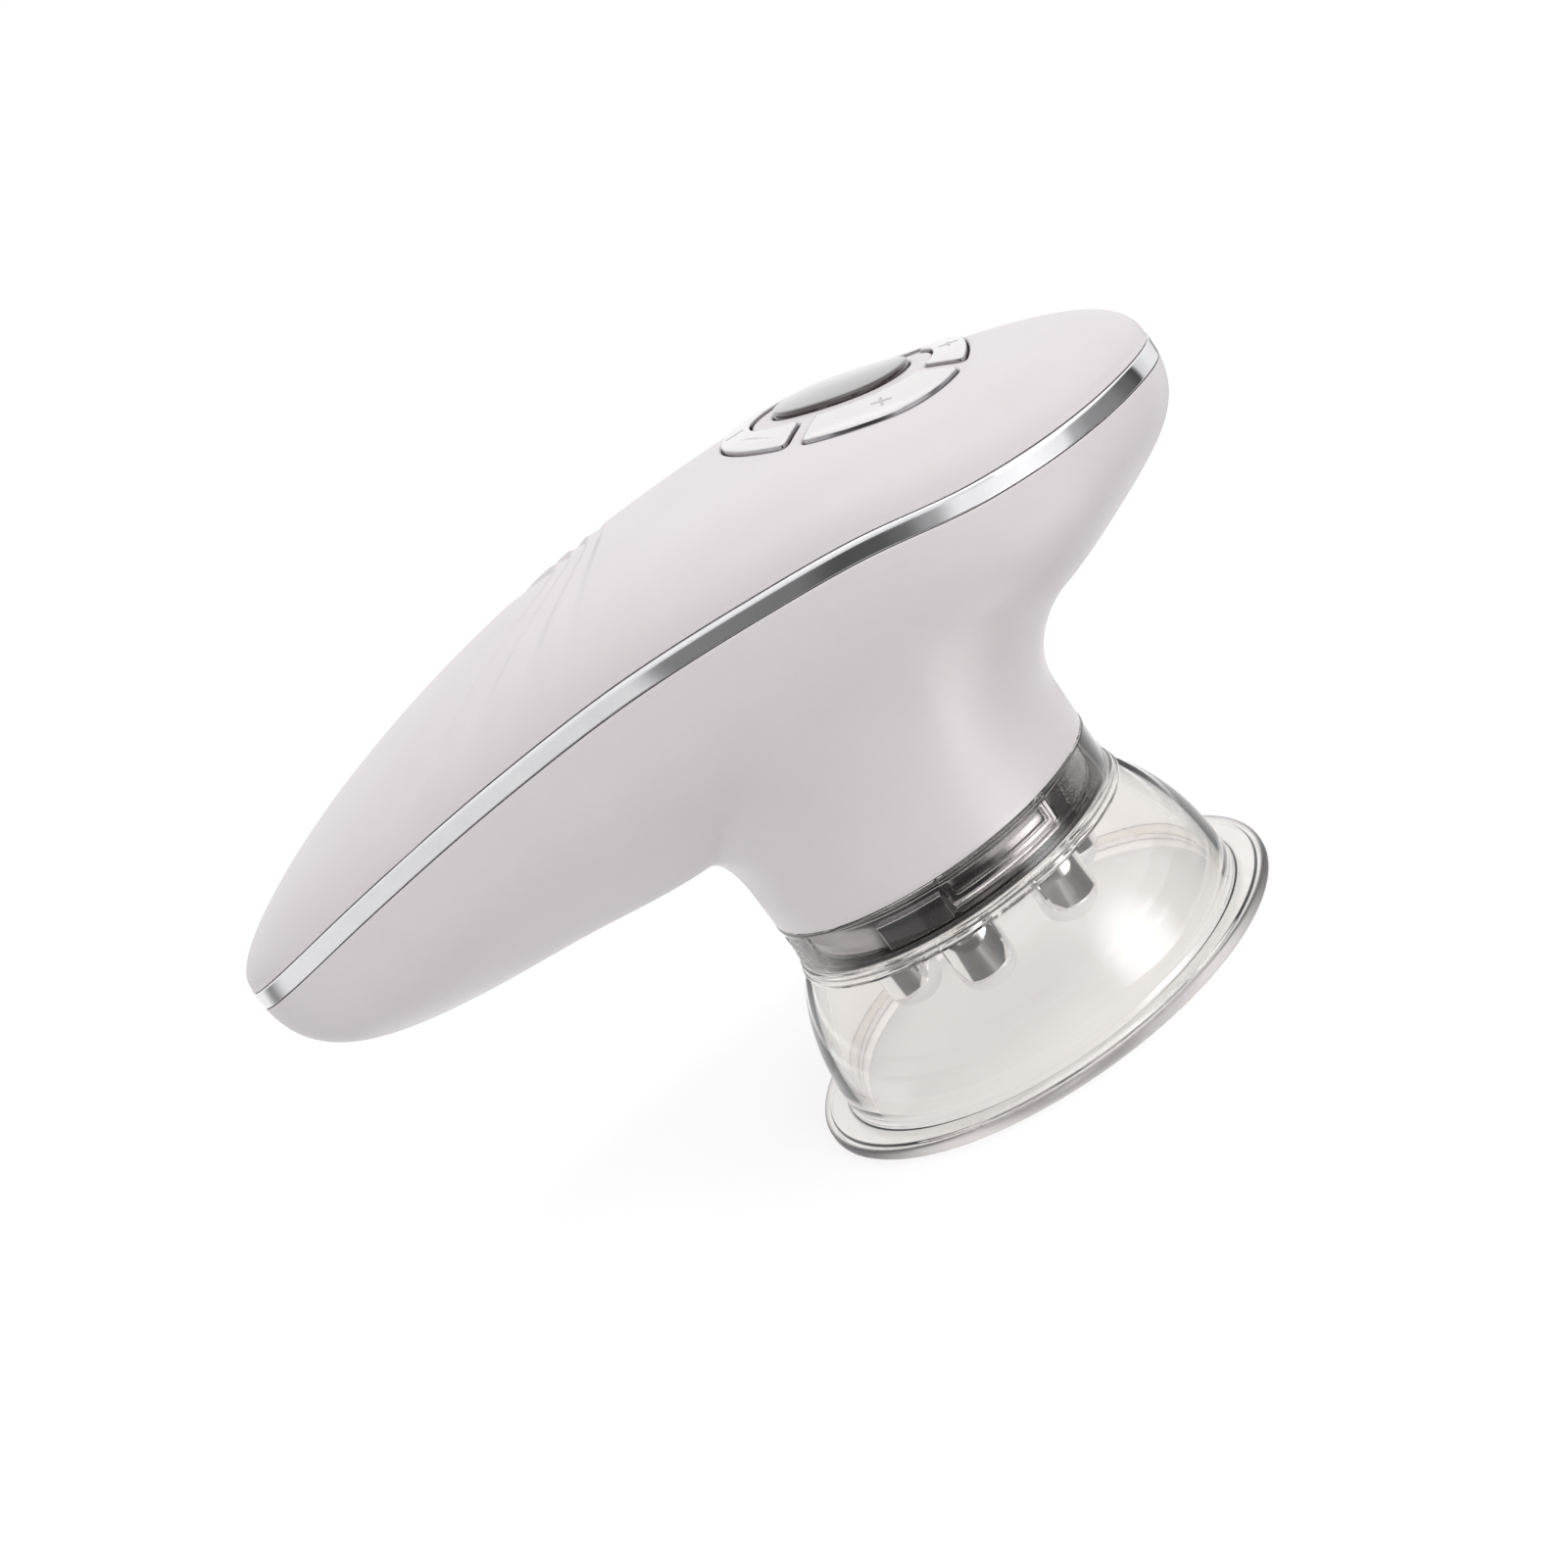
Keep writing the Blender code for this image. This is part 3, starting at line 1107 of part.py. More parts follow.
def make_pump(pump_axis):
    """The vacuum pump: base with nipples, diaphragm, hollow head, crank and motor."""
    base = cylinder(
        "pump_base", PUMP_RADIUS, PUMP_BASE_BOTTOM, PUMP_BASE_TOP,
        finish=BLACK, parent=pump_axis, steps=PUMP_STEPS,
    )
    nipples = [(PORT_OFFSET, 0.0), (-PORT_OFFSET, 0.0)]
    low = PUMP_BASE_BOTTOM - BARB_LENGTH
    join(base, pins("pump_nipples", nipples, BARB_RADIUS, low, PUMP_BASE_BOTTOM + SUNK, pump_axis))
    high = PUMP_BASE_TOP + OVERRUN
    cut(base, pins("pump_bores", nipples, BARB_BORE, low - OVERRUN, high, pump_axis, BORE_STEPS))

    hub_top = DIAPHRAGM_BOTTOM + DIAPHRAGM_THICKNESS + DIAPHRAGM_HUB_HEIGHT
    diaphragm_top = DIAPHRAGM_BOTTOM + DIAPHRAGM_THICKNESS
    turned(
        "pump_diaphragm",
        [
            (0.0, hub_top), (DIAPHRAGM_HUB_RADIUS, hub_top), (DIAPHRAGM_HUB_RADIUS, diaphragm_top),
            (PUMP_RADIUS, diaphragm_top), (PUMP_RADIUS, DIAPHRAGM_BOTTOM), (0.0, DIAPHRAGM_BOTTOM),
        ],
        SILICONE, pump_axis, PUMP_STEPS,
    )
    bore = PUMP_RADIUS - PUMP_HEAD_WALL
    hole = SHAFT_RADIUS + SHAFT_RUNNING_GAP
    turned(
        "pump_head",
        [
            (hole, PUMP_HEAD_TOP), (PUMP_RADIUS + PUMP_FLANGE, PUMP_HEAD_TOP),
            (PUMP_RADIUS + PUMP_FLANGE, HEAD_FLANGE_BOTTOM), (PUMP_RADIUS, HEAD_FLANGE_BOTTOM),
            (PUMP_RADIUS, PUMP_HEAD_BOTTOM), (bore, PUMP_HEAD_BOTTOM),
            (bore, PUMP_HEAD_TOP - PUMP_FLANGE_THICKNESS), (hole, PUMP_HEAD_TOP - PUMP_FLANGE_THICKNESS),
        ],
        BLACK, pump_axis, PUMP_STEPS,
    )
    crank_top = PUMP_HEAD_TOP - PUMP_FLANGE_THICKNESS - SHAFT_RUNNING_GAP
    crank_bottom = crank_top - CRANK_THICKNESS
    crank = turned(
        "pump_crank",
        [
            (hole, crank_top), (CRANK_RADIUS, crank_top), (CRANK_RADIUS, crank_bottom), (hole, crank_bottom),
        ],
        STEEL, pump_axis, PUMP_STEPS,
    )
    pin_low = hub_top + GAP
    pin = pins(
        "crank_pin", [(CRANK_THROW, 0.0)], CRANK_PIN_RADIUS, pin_low, crank_bottom + SUNK, pump_axis
    )
    join(crank, pin)
    shaft_low = crank_bottom + CRANK_THICKNESS * SHAFT_END_SHARE
    motor_top = MOTOR_BOTTOM + PUMP_MOTOR_LENGTH
    turned(
        "pump_motor",
        [
            (0.0, motor_top + BEARING_HEIGHT), (BEARING_RADIUS, motor_top + BEARING_HEIGHT),
            (BEARING_RADIUS, motor_top), (PUMP_MOTOR_RADIUS - MOTOR_ROUNDING, motor_top),
            (PUMP_MOTOR_RADIUS, motor_top - MOTOR_ROUNDING), (PUMP_MOTOR_RADIUS, MOTOR_BOTTOM),
            (SHAFT_RADIUS, MOTOR_BOTTOM), (SHAFT_RADIUS, shaft_low), (0.0, shaft_low),
        ],
        STEEL, pump_axis, PUMP_STEPS,
    )


def make_valve(valve_axis):
    """The release valve, whose plunger slides in its bore."""
    top = VALVE_BOTTOM + VALVE_LENGTH
    flange_low = FRAME_TOP + GAP
    flange_top = flange_low + VALVE_FLANGE_THICKNESS
    flange_radius = VALVE_RADIUS + VALVE_FLANGE
    nipple_low = VALVE_BOTTOM - BARB_LENGTH
    bore = VALVE_PIN_RADIUS + GAP
    floor = VALVE_BOTTOM + VALVE_WALL
    turned(
        "valve_body",
        [
            (bore, top), (VALVE_RADIUS, top), (VALVE_RADIUS, flange_top), (flange_radius, flange_top),
            (flange_radius, flange_low), (VALVE_RADIUS, flange_low), (VALVE_RADIUS, VALVE_BOTTOM),
            (BARB_RADIUS, VALVE_BOTTOM), (BARB_RADIUS, nipple_low), (BARB_BORE, nipple_low),
            (BARB_BORE, floor), (bore, floor),
        ],
        INNER_GREY, valve_axis, VALVE_STEPS,
    )
    cap_low = top + GAP
    cap_top = cap_low + VALVE_WALL
    turned(
        "valve_plunger",
        [
            (0.0, cap_top), (VALVE_CAP_RADIUS, cap_top), (VALVE_CAP_RADIUS, cap_low),
            (VALVE_PIN_RADIUS, cap_low), (VALVE_PIN_RADIUS, floor + GAP), (0.0, floor + GAP),
        ],
        STEEL, valve_axis, VALVE_STEPS,
    )


def make_shaker(shaker_axis):
    """The vibration motor and the off-centre weight on its shaft."""
    shaft_end = SHAKER_LENGTH + SHAKER_SHAFT
    turned(
        "vibration_motor",
        [
            (0.0, shaft_end), (SHAFT_RADIUS, shaft_end), (SHAFT_RADIUS, SHAKER_LENGTH),
            (SHAKER_RADIUS, SHAKER_LENGTH), (SHAKER_RADIUS, 0.0), (0.0, 0.0),
        ],
        STEEL, shaker_axis, SHAKER_STEPS,
    )
    low = SHAKER_LENGTH + WEIGHT_CLEARANCE
    high = low + WEIGHT_LENGTH
    bore = SHAFT_RADIUS + SHAFT_RUNNING_GAP
    hub = bore + WEIGHT_HUB_WALL
    profile = [(bore, high), (hub, high), (hub, low), (bore, low)]
    weight = turned("vibration_weight", profile, STEEL, shaker_axis, SHAKER_STEPS)
    half = WEIGHT_ARC / 2
    join(weight, sector("weight_lobe", hub - SUNK, WEIGHT_RADIUS, low, high, -half, half, parent=shaker_axis))


def make_power(battery_axis):
    """Battery, main board and charging socket, in the handle."""
    end = BATTERY_LENGTH - GAP
    turned(
        "battery",
        [
            (0.0, end + BATTERY_CAP_HEIGHT), (BATTERY_CAP_RADIUS, end + BATTERY_CAP_HEIGHT),
            (BATTERY_CAP_RADIUS, end), (BATTERY_RADIUS, end), (BATTERY_RADIUS, 0.0), (0.0, 0.0),
        ],
        BLUE_WRAP, battery_axis, BATTERY_STEPS,
    )
    middle = CUP_X + BATTERY_FRONT - BATTERY_LENGTH / 2
    level = MAIN_BOARD_BOTTOM + BOARD_THICKNESS / 2
    board_size = (MAIN_BOARD_LENGTH, MAIN_BOARD_WIDTH, BOARD_THICKNESS)
    board = box("main_board", board_size, (middle, 0.0, level), BOARD_GREEN)
    chip_level = MAIN_BOARD_BOTTOM + BOARD_THICKNESS - SUNK + CHIP_HEIGHT / 2
    for number, share in enumerate(CHIP_SHARES):
        centre = (middle + share * MAIN_BOARD_LENGTH, 0.0, chip_level)
        join(board, box(f"chip_{number + 1}", (CHIP_SIZE, CHIP_SIZE, CHIP_HEIGHT), centre))

    size = (CHARGE_BOARD_LENGTH, CHARGE_BOARD_WIDTH, BOARD_THICKNESS)
    centre = (CHARGE_BOARD_X, 0.0, CHARGE_BOARD_BOTTOM + BOARD_THICKNESS / 2)
    box("charge_board", size, centre, BOARD_GREEN)
    middle = SOCKET_FACE + SOCKET_LENGTH / 2
    socket_size = (SOCKET_LENGTH, SOCKET_WIDTH, SOCKET_HEIGHT)
    socket = box("charge_socket", socket_size, (middle, 0.0, SOCKET_LEVEL), STEEL)
    inner_width, inner_height = SOCKET_WIDTH - 2 * SOCKET_WALL, SOCKET_HEIGHT - 2 * SOCKET_WALL
    hollow_size = (2 * (SOCKET_LENGTH - SOCKET_WALL), inner_width, inner_height)
    cut(socket, box("socket_hollow", hollow_size, (SOCKET_FACE, 0.0, SOCKET_LEVEL)))
    tongue_length = SOCKET_LENGTH - 2 * SOCKET_WALL
    tongue_middle = SOCKET_FACE + SOCKET_LENGTH - tongue_length / 2 - SOCKET_WALL / 2
    tongue_width = inner_width - 2 * SOCKET_TONGUE
    tongue_size = (tongue_length, tongue_width, SOCKET_TONGUE)
    join(socket, box("socket_tongue", tongue_size, (tongue_middle, 0.0, SOCKET_LEVEL)))


def make_lens(panel):
    """The display's lens, whose top follows the crown with a small step down at its edge."""
    turns = [i * math.tau / LENS_STEPS for i in range(LENS_STEPS)]

    def ring(radius, rise):
        points = [(radius * math.cos(turn), radius * math.sin(turn)) for turn in turns]
        return [(u, v, panel_lift(u, v) + rise) for u, v in points]

    floor = [(LENS_RADIUS * math.cos(turn), LENS_RADIUS * math.sin(turn), -LENS_THICKNESS) for turn in turns]
    rings = [floor, ring(LENS_RADIUS, LENS_PROUD - LENS_EDGE)]
    rings += [ring((LENS_RADIUS - LENS_EDGE) * share, LENS_PROUD) for share in LENS_RING_SHARES]
    rings.append([(0.0, 0.0, LENS_PROUD)])
    loft("display_lens", rings, DARK_LENS, panel)


def make_panel(panel):
    """The display, the keys, and the switches on the board under them."""
    make_lens(panel)
    board_top = -DISPLAY_BOARD_DEPTH
    board_bottom = board_top - BOARD_THICKNESS
    board = cylinder(
        "display_board", DISPLAY_BOARD_RADIUS, board_bottom, board_top,
        finish=BOARD_GREEN, parent=panel, steps=DISC_STEPS,
    )
    places = ring_places(DISPLAY_SCREWS, DISPLAY_SCREW_CIRCLE)
    span = (board_bottom - OVERRUN, board_top + OVERRUN)
    cut(board, pins("board_screw_holes", places, HOLE_RADIUS, *span, panel))
    for i, place in enumerate(places):
        length = GAP + BOARD_THICKNESS + GAP + SCREW_BITE - OVERRUN
        screw(f"board_screw_{i + 1}", place, board_bottom - GAP, length, True, parent=panel)
    low, high = board_top + GAP, -LENS_THICKNESS - GAP
    size = (DISPLAY_MODULE, DISPLAY_MODULE, high - low)
    box("display_module", size, (0.0, 0.0, (low + high) / 2), INNER_GREY, panel)

    switch_top = board_top + GAP + SWITCH_HEIGHT
    stem_low = switch_top + PLUNGER_REACH + GAP
    for side, start, stop in KEYS:
        key = key_slab(f"key_{side}", start, stop, 0.0, -KEY_THICKNESS, KEY_PROUD, WHITE_KEY, panel)
        bevel(key, KEY_BEVEL, 1)
        middle = (start + stop) / 2
        reach = (KEY_INNER_RADIUS + key_ring_reach(middle)) / 2
        place = (reach * math.cos(middle), reach * math.sin(middle))
        stem_top = panel_lift(*place) - KEY_THICKNESS / 2
        join(key, pins(f"stem_{side}", [place], STEM_RADIUS, stem_low, stem_top, panel))
        plunger_low = switch_top - PLUNGER_SUNK
        span = (plunger_low, stem_low - GAP)
        cylinder(f"plunger_{side}", PLUNGER_RADIUS, *span, place, BLACK, panel, steps=PLUNGER_STEPS)
        centre = (*place, board_top + GAP + SWITCH_HEIGHT / 2)
        switch = box(f"switch_{side}", (SWITCH_SIZE, SWITCH_SIZE, SWITCH_HEIGHT), centre, STEEL, panel)
        well_low = plunger_low - KEY_TRAVEL - GAP
        well = pins(f"well_{side}", [place], PLUNGER_RADIUS + GAP, well_low, switch_top + OVERRUN, panel)
        cut(switch, well)


def main():
    """Builds every piece."""
    panel = axis("panel", PANEL_PLACE, (0.0, PANEL_TILT, 0.0))
    lying = (0.0, math.pi / 2, 0.0)
    battery_axis = axis("battery_axis", (CUP_X + BATTERY_FRONT - BATTERY_LENGTH, 0.0, BATTERY_HEIGHT), lying)
    shaker_axis = axis("shaker_axis", (CUP_X + SHAKER_REAR, 0.0, SHAKER_HEIGHT), lying)
    pump_axis = axis("pump_axis", (CUP_X + PUMP_X, 0.0, 0.0))
    valve_axis = axis("valve_axis", (CUP_X + VALVE_X, VALVE_Y, 0.0))
    make_top_housing(panel)
    make_trim_band()
    make_lower_housing(battery_axis)
    make_cup()
    make_base()
    make_posts()
    make_nozzle()
    make_frame(shaker_axis)
    make_pump(pump_axis)
    make_valve(valve_axis)
    make_shaker(shaker_axis)
    make_power(battery_axis)
    make_panel(panel)


main()
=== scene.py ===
"""Looks of the handheld vacuum massager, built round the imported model.

Metres, +Z up, in the model's own frame: the cup's axis is vertical, +X points to the nose of the head.
"""

import json
import logging
import math
from collections.abc import Callable, Sequence
from dataclasses import dataclass
from enum import Enum
from functools import cached_property

import bmesh
import bpy
import numpy as np
from bpy.types import GeometryNodeTree, ID, Material, Mesh, Node, NodeOutputs, NodeSocket, NodeTree, Object
from mathutils import Matrix, Vector


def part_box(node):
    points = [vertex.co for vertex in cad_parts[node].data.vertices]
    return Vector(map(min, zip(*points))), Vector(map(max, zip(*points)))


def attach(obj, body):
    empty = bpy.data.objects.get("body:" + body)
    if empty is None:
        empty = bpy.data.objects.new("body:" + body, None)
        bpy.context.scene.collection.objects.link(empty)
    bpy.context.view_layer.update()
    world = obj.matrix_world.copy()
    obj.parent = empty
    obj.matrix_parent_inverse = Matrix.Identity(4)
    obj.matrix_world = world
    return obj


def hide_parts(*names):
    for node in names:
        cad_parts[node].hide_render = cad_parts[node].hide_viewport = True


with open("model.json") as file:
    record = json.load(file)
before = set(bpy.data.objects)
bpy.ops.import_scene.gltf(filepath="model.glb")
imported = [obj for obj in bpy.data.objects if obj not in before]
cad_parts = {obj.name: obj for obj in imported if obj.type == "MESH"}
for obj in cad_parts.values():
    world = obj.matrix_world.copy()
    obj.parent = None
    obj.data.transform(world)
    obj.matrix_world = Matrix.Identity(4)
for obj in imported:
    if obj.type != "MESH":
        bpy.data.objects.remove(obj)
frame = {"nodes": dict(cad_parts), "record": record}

LOG = logging.getLogger("massager")
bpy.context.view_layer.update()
BODY = "body"
SHARP_ANGLE = math.radians(32)
MERGE_DISTANCE = 0.000002
GAP = 0.0003
END_STEP = 0.3
MOST_DRAWN = 0.9
ROUNDING_ROOM = 2.01
CORNER_STEPS = 4
QUARTER_STEPS = 6
STIPPLE_DENSITY = 2.0e7
STIPPLE_SIZES = (0.5, 1.2)
WHITE = (1.0, 1.0, 1.0, 1.0)
BLACK = (0.0, 0.0, 0.0, 1.0)

Profile = list[tuple[float, float]]
Corners = list[tuple[float, float, float]]
Rows = list[np.ndarray]
Values = dict[str | int, object]


def eased(low: float, high: float, value: np.ndarray) -> np.ndarray:
    """Smooth step of value between low and high.

    Args:
        low: Where the step starts.
        high: Where it ends.
        value: The places to read.

    Returns:
        Shares from 0 to 1.
    """
    share = np.clip((value - low) / (high - low), 0, 1)
    return share * share * (3 - 2 * share)


def curve_through(shares: Sequence[tuple[float, float]], value: np.ndarray) -> np.ndarray:
    """Smooth curve through a table of shares.

    Args:
        shares: Place and height of each point.
        value: The places to read.

    Returns:
        Heights at the places.
    """
    places, heights = np.array(shares).T
    slopes = np.gradient(heights, places)
    value = np.clip(value, places[0], places[-1])
    i = np.clip(np.searchsorted(places, value) - 1, 0, len(places) - 2)
    step = places[i + 1] - places[i]
    t = (value - places[i]) / step
    return (
        (2 * t**3 - 3 * t**2 + 1) * heights[i]
        + (t**3 - 2 * t**2 + t) * step * slopes[i]
        + (3 * t**2 - 2 * t**3) * heights[i + 1]
        + (t**3 - t**2) * step * slopes[i + 1]
    )


def section(
    near: float, far: float, low: float, high: float, near_rounding: float, far_rounding: float
) -> Corners:
    """Corners of a rectangle with their roundings, from its near low corner round."""
    return [
        (near, low, near_rounding), (far, low, far_rounding),
        (far, high, far_rounding), (near, high, near_rounding),
    ]


def circle(steps: int) -> tuple[np.ndarray, np.ndarray]:
    """Cosines and sines of even turns round a circle."""
    turns = np.arange(steps) * math.tau / steps
    return np.cos(turns), np.sin(turns)


def quarter(steps: int) -> list[tuple[float, float]]:
    """Cosines and sines of even turns through a quarter circle, with both its ends."""
    turns = [i * math.pi / (2 * steps) for i in range(steps + 1)]
    return [(math.cos(turn), math.sin(turn)) for turn in turns]


def rounded(corners: Corners, steps: int = CORNER_STEPS) -> Profile:
    """Closed outline whose corners are rounded.

    Args:
        corners: Each corner's two coordinates and its rounding.
        steps: Segments of each rounding.

    Returns:
        The outline's points.
    """
    points: Profile = []
    count = len(corners)
    for i, (x, y, radius) in enumerate(corners):
        here = np.array((x, y))
        if radius <= 0:
            points.append((x, y))
            continue
        before = np.array(corners[i - 1][:2]) - here
        after = np.array(corners[(i + 1) % count][:2]) - here
        long_before, long_after = np.linalg.norm(before), np.linalg.norm(after)
        reach = min(radius, long_before / ROUNDING_ROOM, long_after / ROUNDING_ROOM)
        start = here + before / long_before * reach
        stop = here + after / long_after * reach
        for share in np.linspace(0, 1, steps + 1):
            point = (1 - share) ** 2 * start + 2 * share * (1 - share) * here + share**2 * stop
            points.append((float(point[0]), float(point[1])))
    return points


def smooth(mesh: Mesh) -> None:
    """Shades a mesh smooth with its hard edges kept."""
    mesh.shade_smooth()
    mesh.set_sharp_from_angle(angle=SHARP_ANGLE)


def new_mesh(name: str, points: Sequence, faces: Sequence, edges: Sequence = ()) -> Mesh:
    """New mesh from points and the numbers of its faces or edges."""
    mesh = bpy.data.meshes.new(name)
    mesh.from_pydata(points, edges, faces)
    return mesh


def linked(name: str, data: ID) -> Object:
    """Links a mesh, a lamp or a camera to the scene as an object."""
    obj = bpy.data.objects.new(name, data)
    bpy.context.scene.collection.objects.link(obj)
    return obj


def new_object(name: str, mesh: Mesh) -> Object:
    """Links a mesh to the scene as an object, smooth with hard edges kept."""
    smooth(mesh)
    return linked(name, mesh)


def row_faces(rows: Rows, wrap: bool) -> list[tuple[int, ...]]:
    """Faces that join rows of points; a row of one point is a pole.

    Args:
        rows: Rows of equal length, or of one point.
        wrap: Whether the last row joins the first.

    Returns:
        Vertex numbers of each face.
    """
    starts = np.concatenate([[0], np.cumsum([len(row) for row in rows])])
    faces: list[tuple[int, ...]] = []
    pairs = [(k, k + 1) for k in range(len(rows) - 1)] + ([(len(rows) - 1, 0)] if wrap else [])
    for low, high in pairs:
        a, b = starts[low], starts[high]
        count = max(len(rows[low]), len(rows[high]))
        if count == 1:
            continue
        i = np.arange(count)
        j = (i + 1) % count
        if len(rows[low]) == 1:
            faces += [(int(a), int(b + q), int(b + p)) for p, q in zip(i, j)]
        elif len(rows[high]) == 1:
            faces += [(int(a + p), int(a + q), int(b)) for p, q in zip(i, j)]
        else:
            faces += [(int(a + p), int(a + q), int(b + q), int(b + p)) for p, q in zip(i, j)]
    return faces


def skinned(name: str, rows: Rows, wrap: bool = False, cap: bool = False) -> Object:
    """Mesh over rows of points, with its faces outwards where it is closed.

    Args:
        name: The object's name.
        rows: Rows of points, or single points as poles.
        wrap: Whether the last row joins the first.
        cap: Whether the first and last rows are filled.

    Returns:
        The object.
    """
    faces = row_faces(rows, wrap)
    if cap:
        last = sum(len(row) for row in rows[:-1])
        faces.append(tuple(range(len(rows[0]))))
        faces.append(tuple(range(last, last + len(rows[-1])))[::-1])
    mesh = new_mesh(name, np.concatenate(rows).tolist(), faces)
    closed = bmesh.new()
    closed.from_mesh(mesh)
    if cap:
        bmesh.ops.recalc_face_normals(closed, faces=closed.faces)
    watertight = all(edge.is_manifold for edge in closed.edges)
    if watertight and closed.calc_volume(signed=True) < 0:
        bmesh.ops.reverse_faces(closed, faces=closed.faces)
    closed.to_mesh(mesh)
    closed.free()
    return new_object(name, mesh)


def turned(name: str, profile: Profile, steps: int, centre: Sequence[float] = (0.0, 0.0)) -> Object:
    """Turned solid about an upright axis.

    Args:
        name: The object's name.
        profile: Closed outline of radius and height.
        steps: Segments round the axis.
        centre: Where the axis stands.

    Returns:
        The object.
    """
    cos, sin = circle(steps)
    rows: Rows = []
    for radius, height in profile:
        if radius == 0:
            rows.append(np.array([[*centre, height]]))
        else:
            level = np.full(steps, height)
            rows.append(np.stack([centre[0] + radius * cos, centre[1] + radius * sin, level], 1))
    return skinned(name, rows, wrap=all(radius > 0 for radius, _ in profile))


def ring_block(
    name: str, corners: Corners, start: float, stop: float, steps: int, end_rounding: float
) -> Object:
    """Stretch of a ring about the cup's axis, with rounded section and slightly drawn-in ends.

    Args:
        name: The object's name.
        corners: Section's corners as radius, height and rounding.
        start: Angle where it starts.
        stop: Angle where it stops.
        steps: Segments along the arc.
        end_rounding: How far the end faces draw in.

    Returns:
        The object.
    """
    outline = np.array(rounded(corners))
    middle = outline.mean(0)
    spread = np.abs(outline - middle).max(0)
    ends = end_rounding / middle[0]
    places = [(start, 1.0), (start + ends * END_STEP, END_STEP), (start + ends, 0.0)]
    places += [(angle, 0.0) for angle in np.linspace(start + ends, stop - ends, steps + 1)[1:-1]]
    places += [(stop - ends, 0.0), (stop - ends * END_STEP, END_STEP), (stop, 1.0)]
    rows: Rows = []
    for angle, drawn in places:
        size = 1 - drawn * np.minimum(end_rounding / spread, MOST_DRAWN)
        radius, height = (middle + (outline - middle) * size).T
        rows.append(np.stack([FORM.cup_x + radius * math.cos(angle), radius * math.sin(angle), height], 1))
    return skinned(name, rows, cap=True)


def box(name: str, size: Vector, centre: Vector) -> Object:
    """Plain block.

    Args:
        name: The object's name.
        size: Its three sizes.
        centre: Its centre.

    Returns:
        The object.
    """
    block = bmesh.new()
    bmesh.ops.create_cube(block, size=1.0, matrix=Matrix.Translation(centre) @ Matrix.Diagonal((*size, 1.0)))
    mesh = bpy.data.meshes.new(name)
    block.to_mesh(mesh)
    block.free()
    return new_object(name, mesh)


def bake_modifiers(obj: Object) -> Object:
    """Turns an object's modifiers into plain mesh.

    Args:
        obj: The object.

    Returns:
        The same object, without modifiers.
    """
    graph = bpy.context.evaluated_depsgraph_get()
    shaped = obj.evaluated_get(graph)
    mesh = bpy.data.meshes.new_from_object(shaped, preserve_all_data_layers=True, depsgraph=graph)
    obj.modifiers.clear()
    obj.data = mesh
    return obj


def combine(obj: Object, others: Sequence[Object], operation: str) -> Object:
    """Joins other solids to an object or cuts them out of it, and removes them.

    Args:
        obj: The object that stays.
        others: The solids to use.
        operation: UNION or DIFFERENCE.

    Returns:
        The object, as plain mesh.
    """
    for other in others:
        modifier = obj.modifiers.new(other.name, "BOOLEAN")
        modifier.operation = operation
        modifier.object = other
        modifier.solver = "EXACT"
    bake_modifiers(obj)
    for other in others:
        bpy.data.objects.remove(other)
    smooth(obj.data)
    return obj


def bevelled(obj: Object, width: float, segments: int) -> Object:
    """Rounds an object's hard edges.

    Args:
        obj: The object.
        width: Width of the rounding.
        segments: Its segments.

    Returns:
        The same object, as plain mesh.
    """
    modifier = obj.modifiers.new("rounding", "BEVEL")
    modifier.width = width
    modifier.segments = segments
    modifier.limit_method = "ANGLE"
    modifier.angle_limit = SHARP_ANGLE
    modifier.harden_normals = False
    bake_modifiers(obj)
    smooth(obj.data)
    return obj


def seat(obj: Object, finish: str, body: str, slot: str, *nodes: str) -> None:
    """Dresses a finished piece and ties it to its body and to the nodes it stands for.

    Args:
        obj: The piece.
        finish: The name of its finish, used unless its mesh has materials.
        body: The body it moves with.
        slot: The record's slot for its finish; not used.
        nodes: The nodes it replaces.
    """
    if not [material for material in obj.data.materials if material]:
        obj.data.materials.clear()
        obj.data.materials.append(FINISHES.built[finish])
    if nodes:
        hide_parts(*nodes)
    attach(obj, body)
    LOG.info("%s: %d faces, on %s", obj.name, len(obj.data.polygons), body)


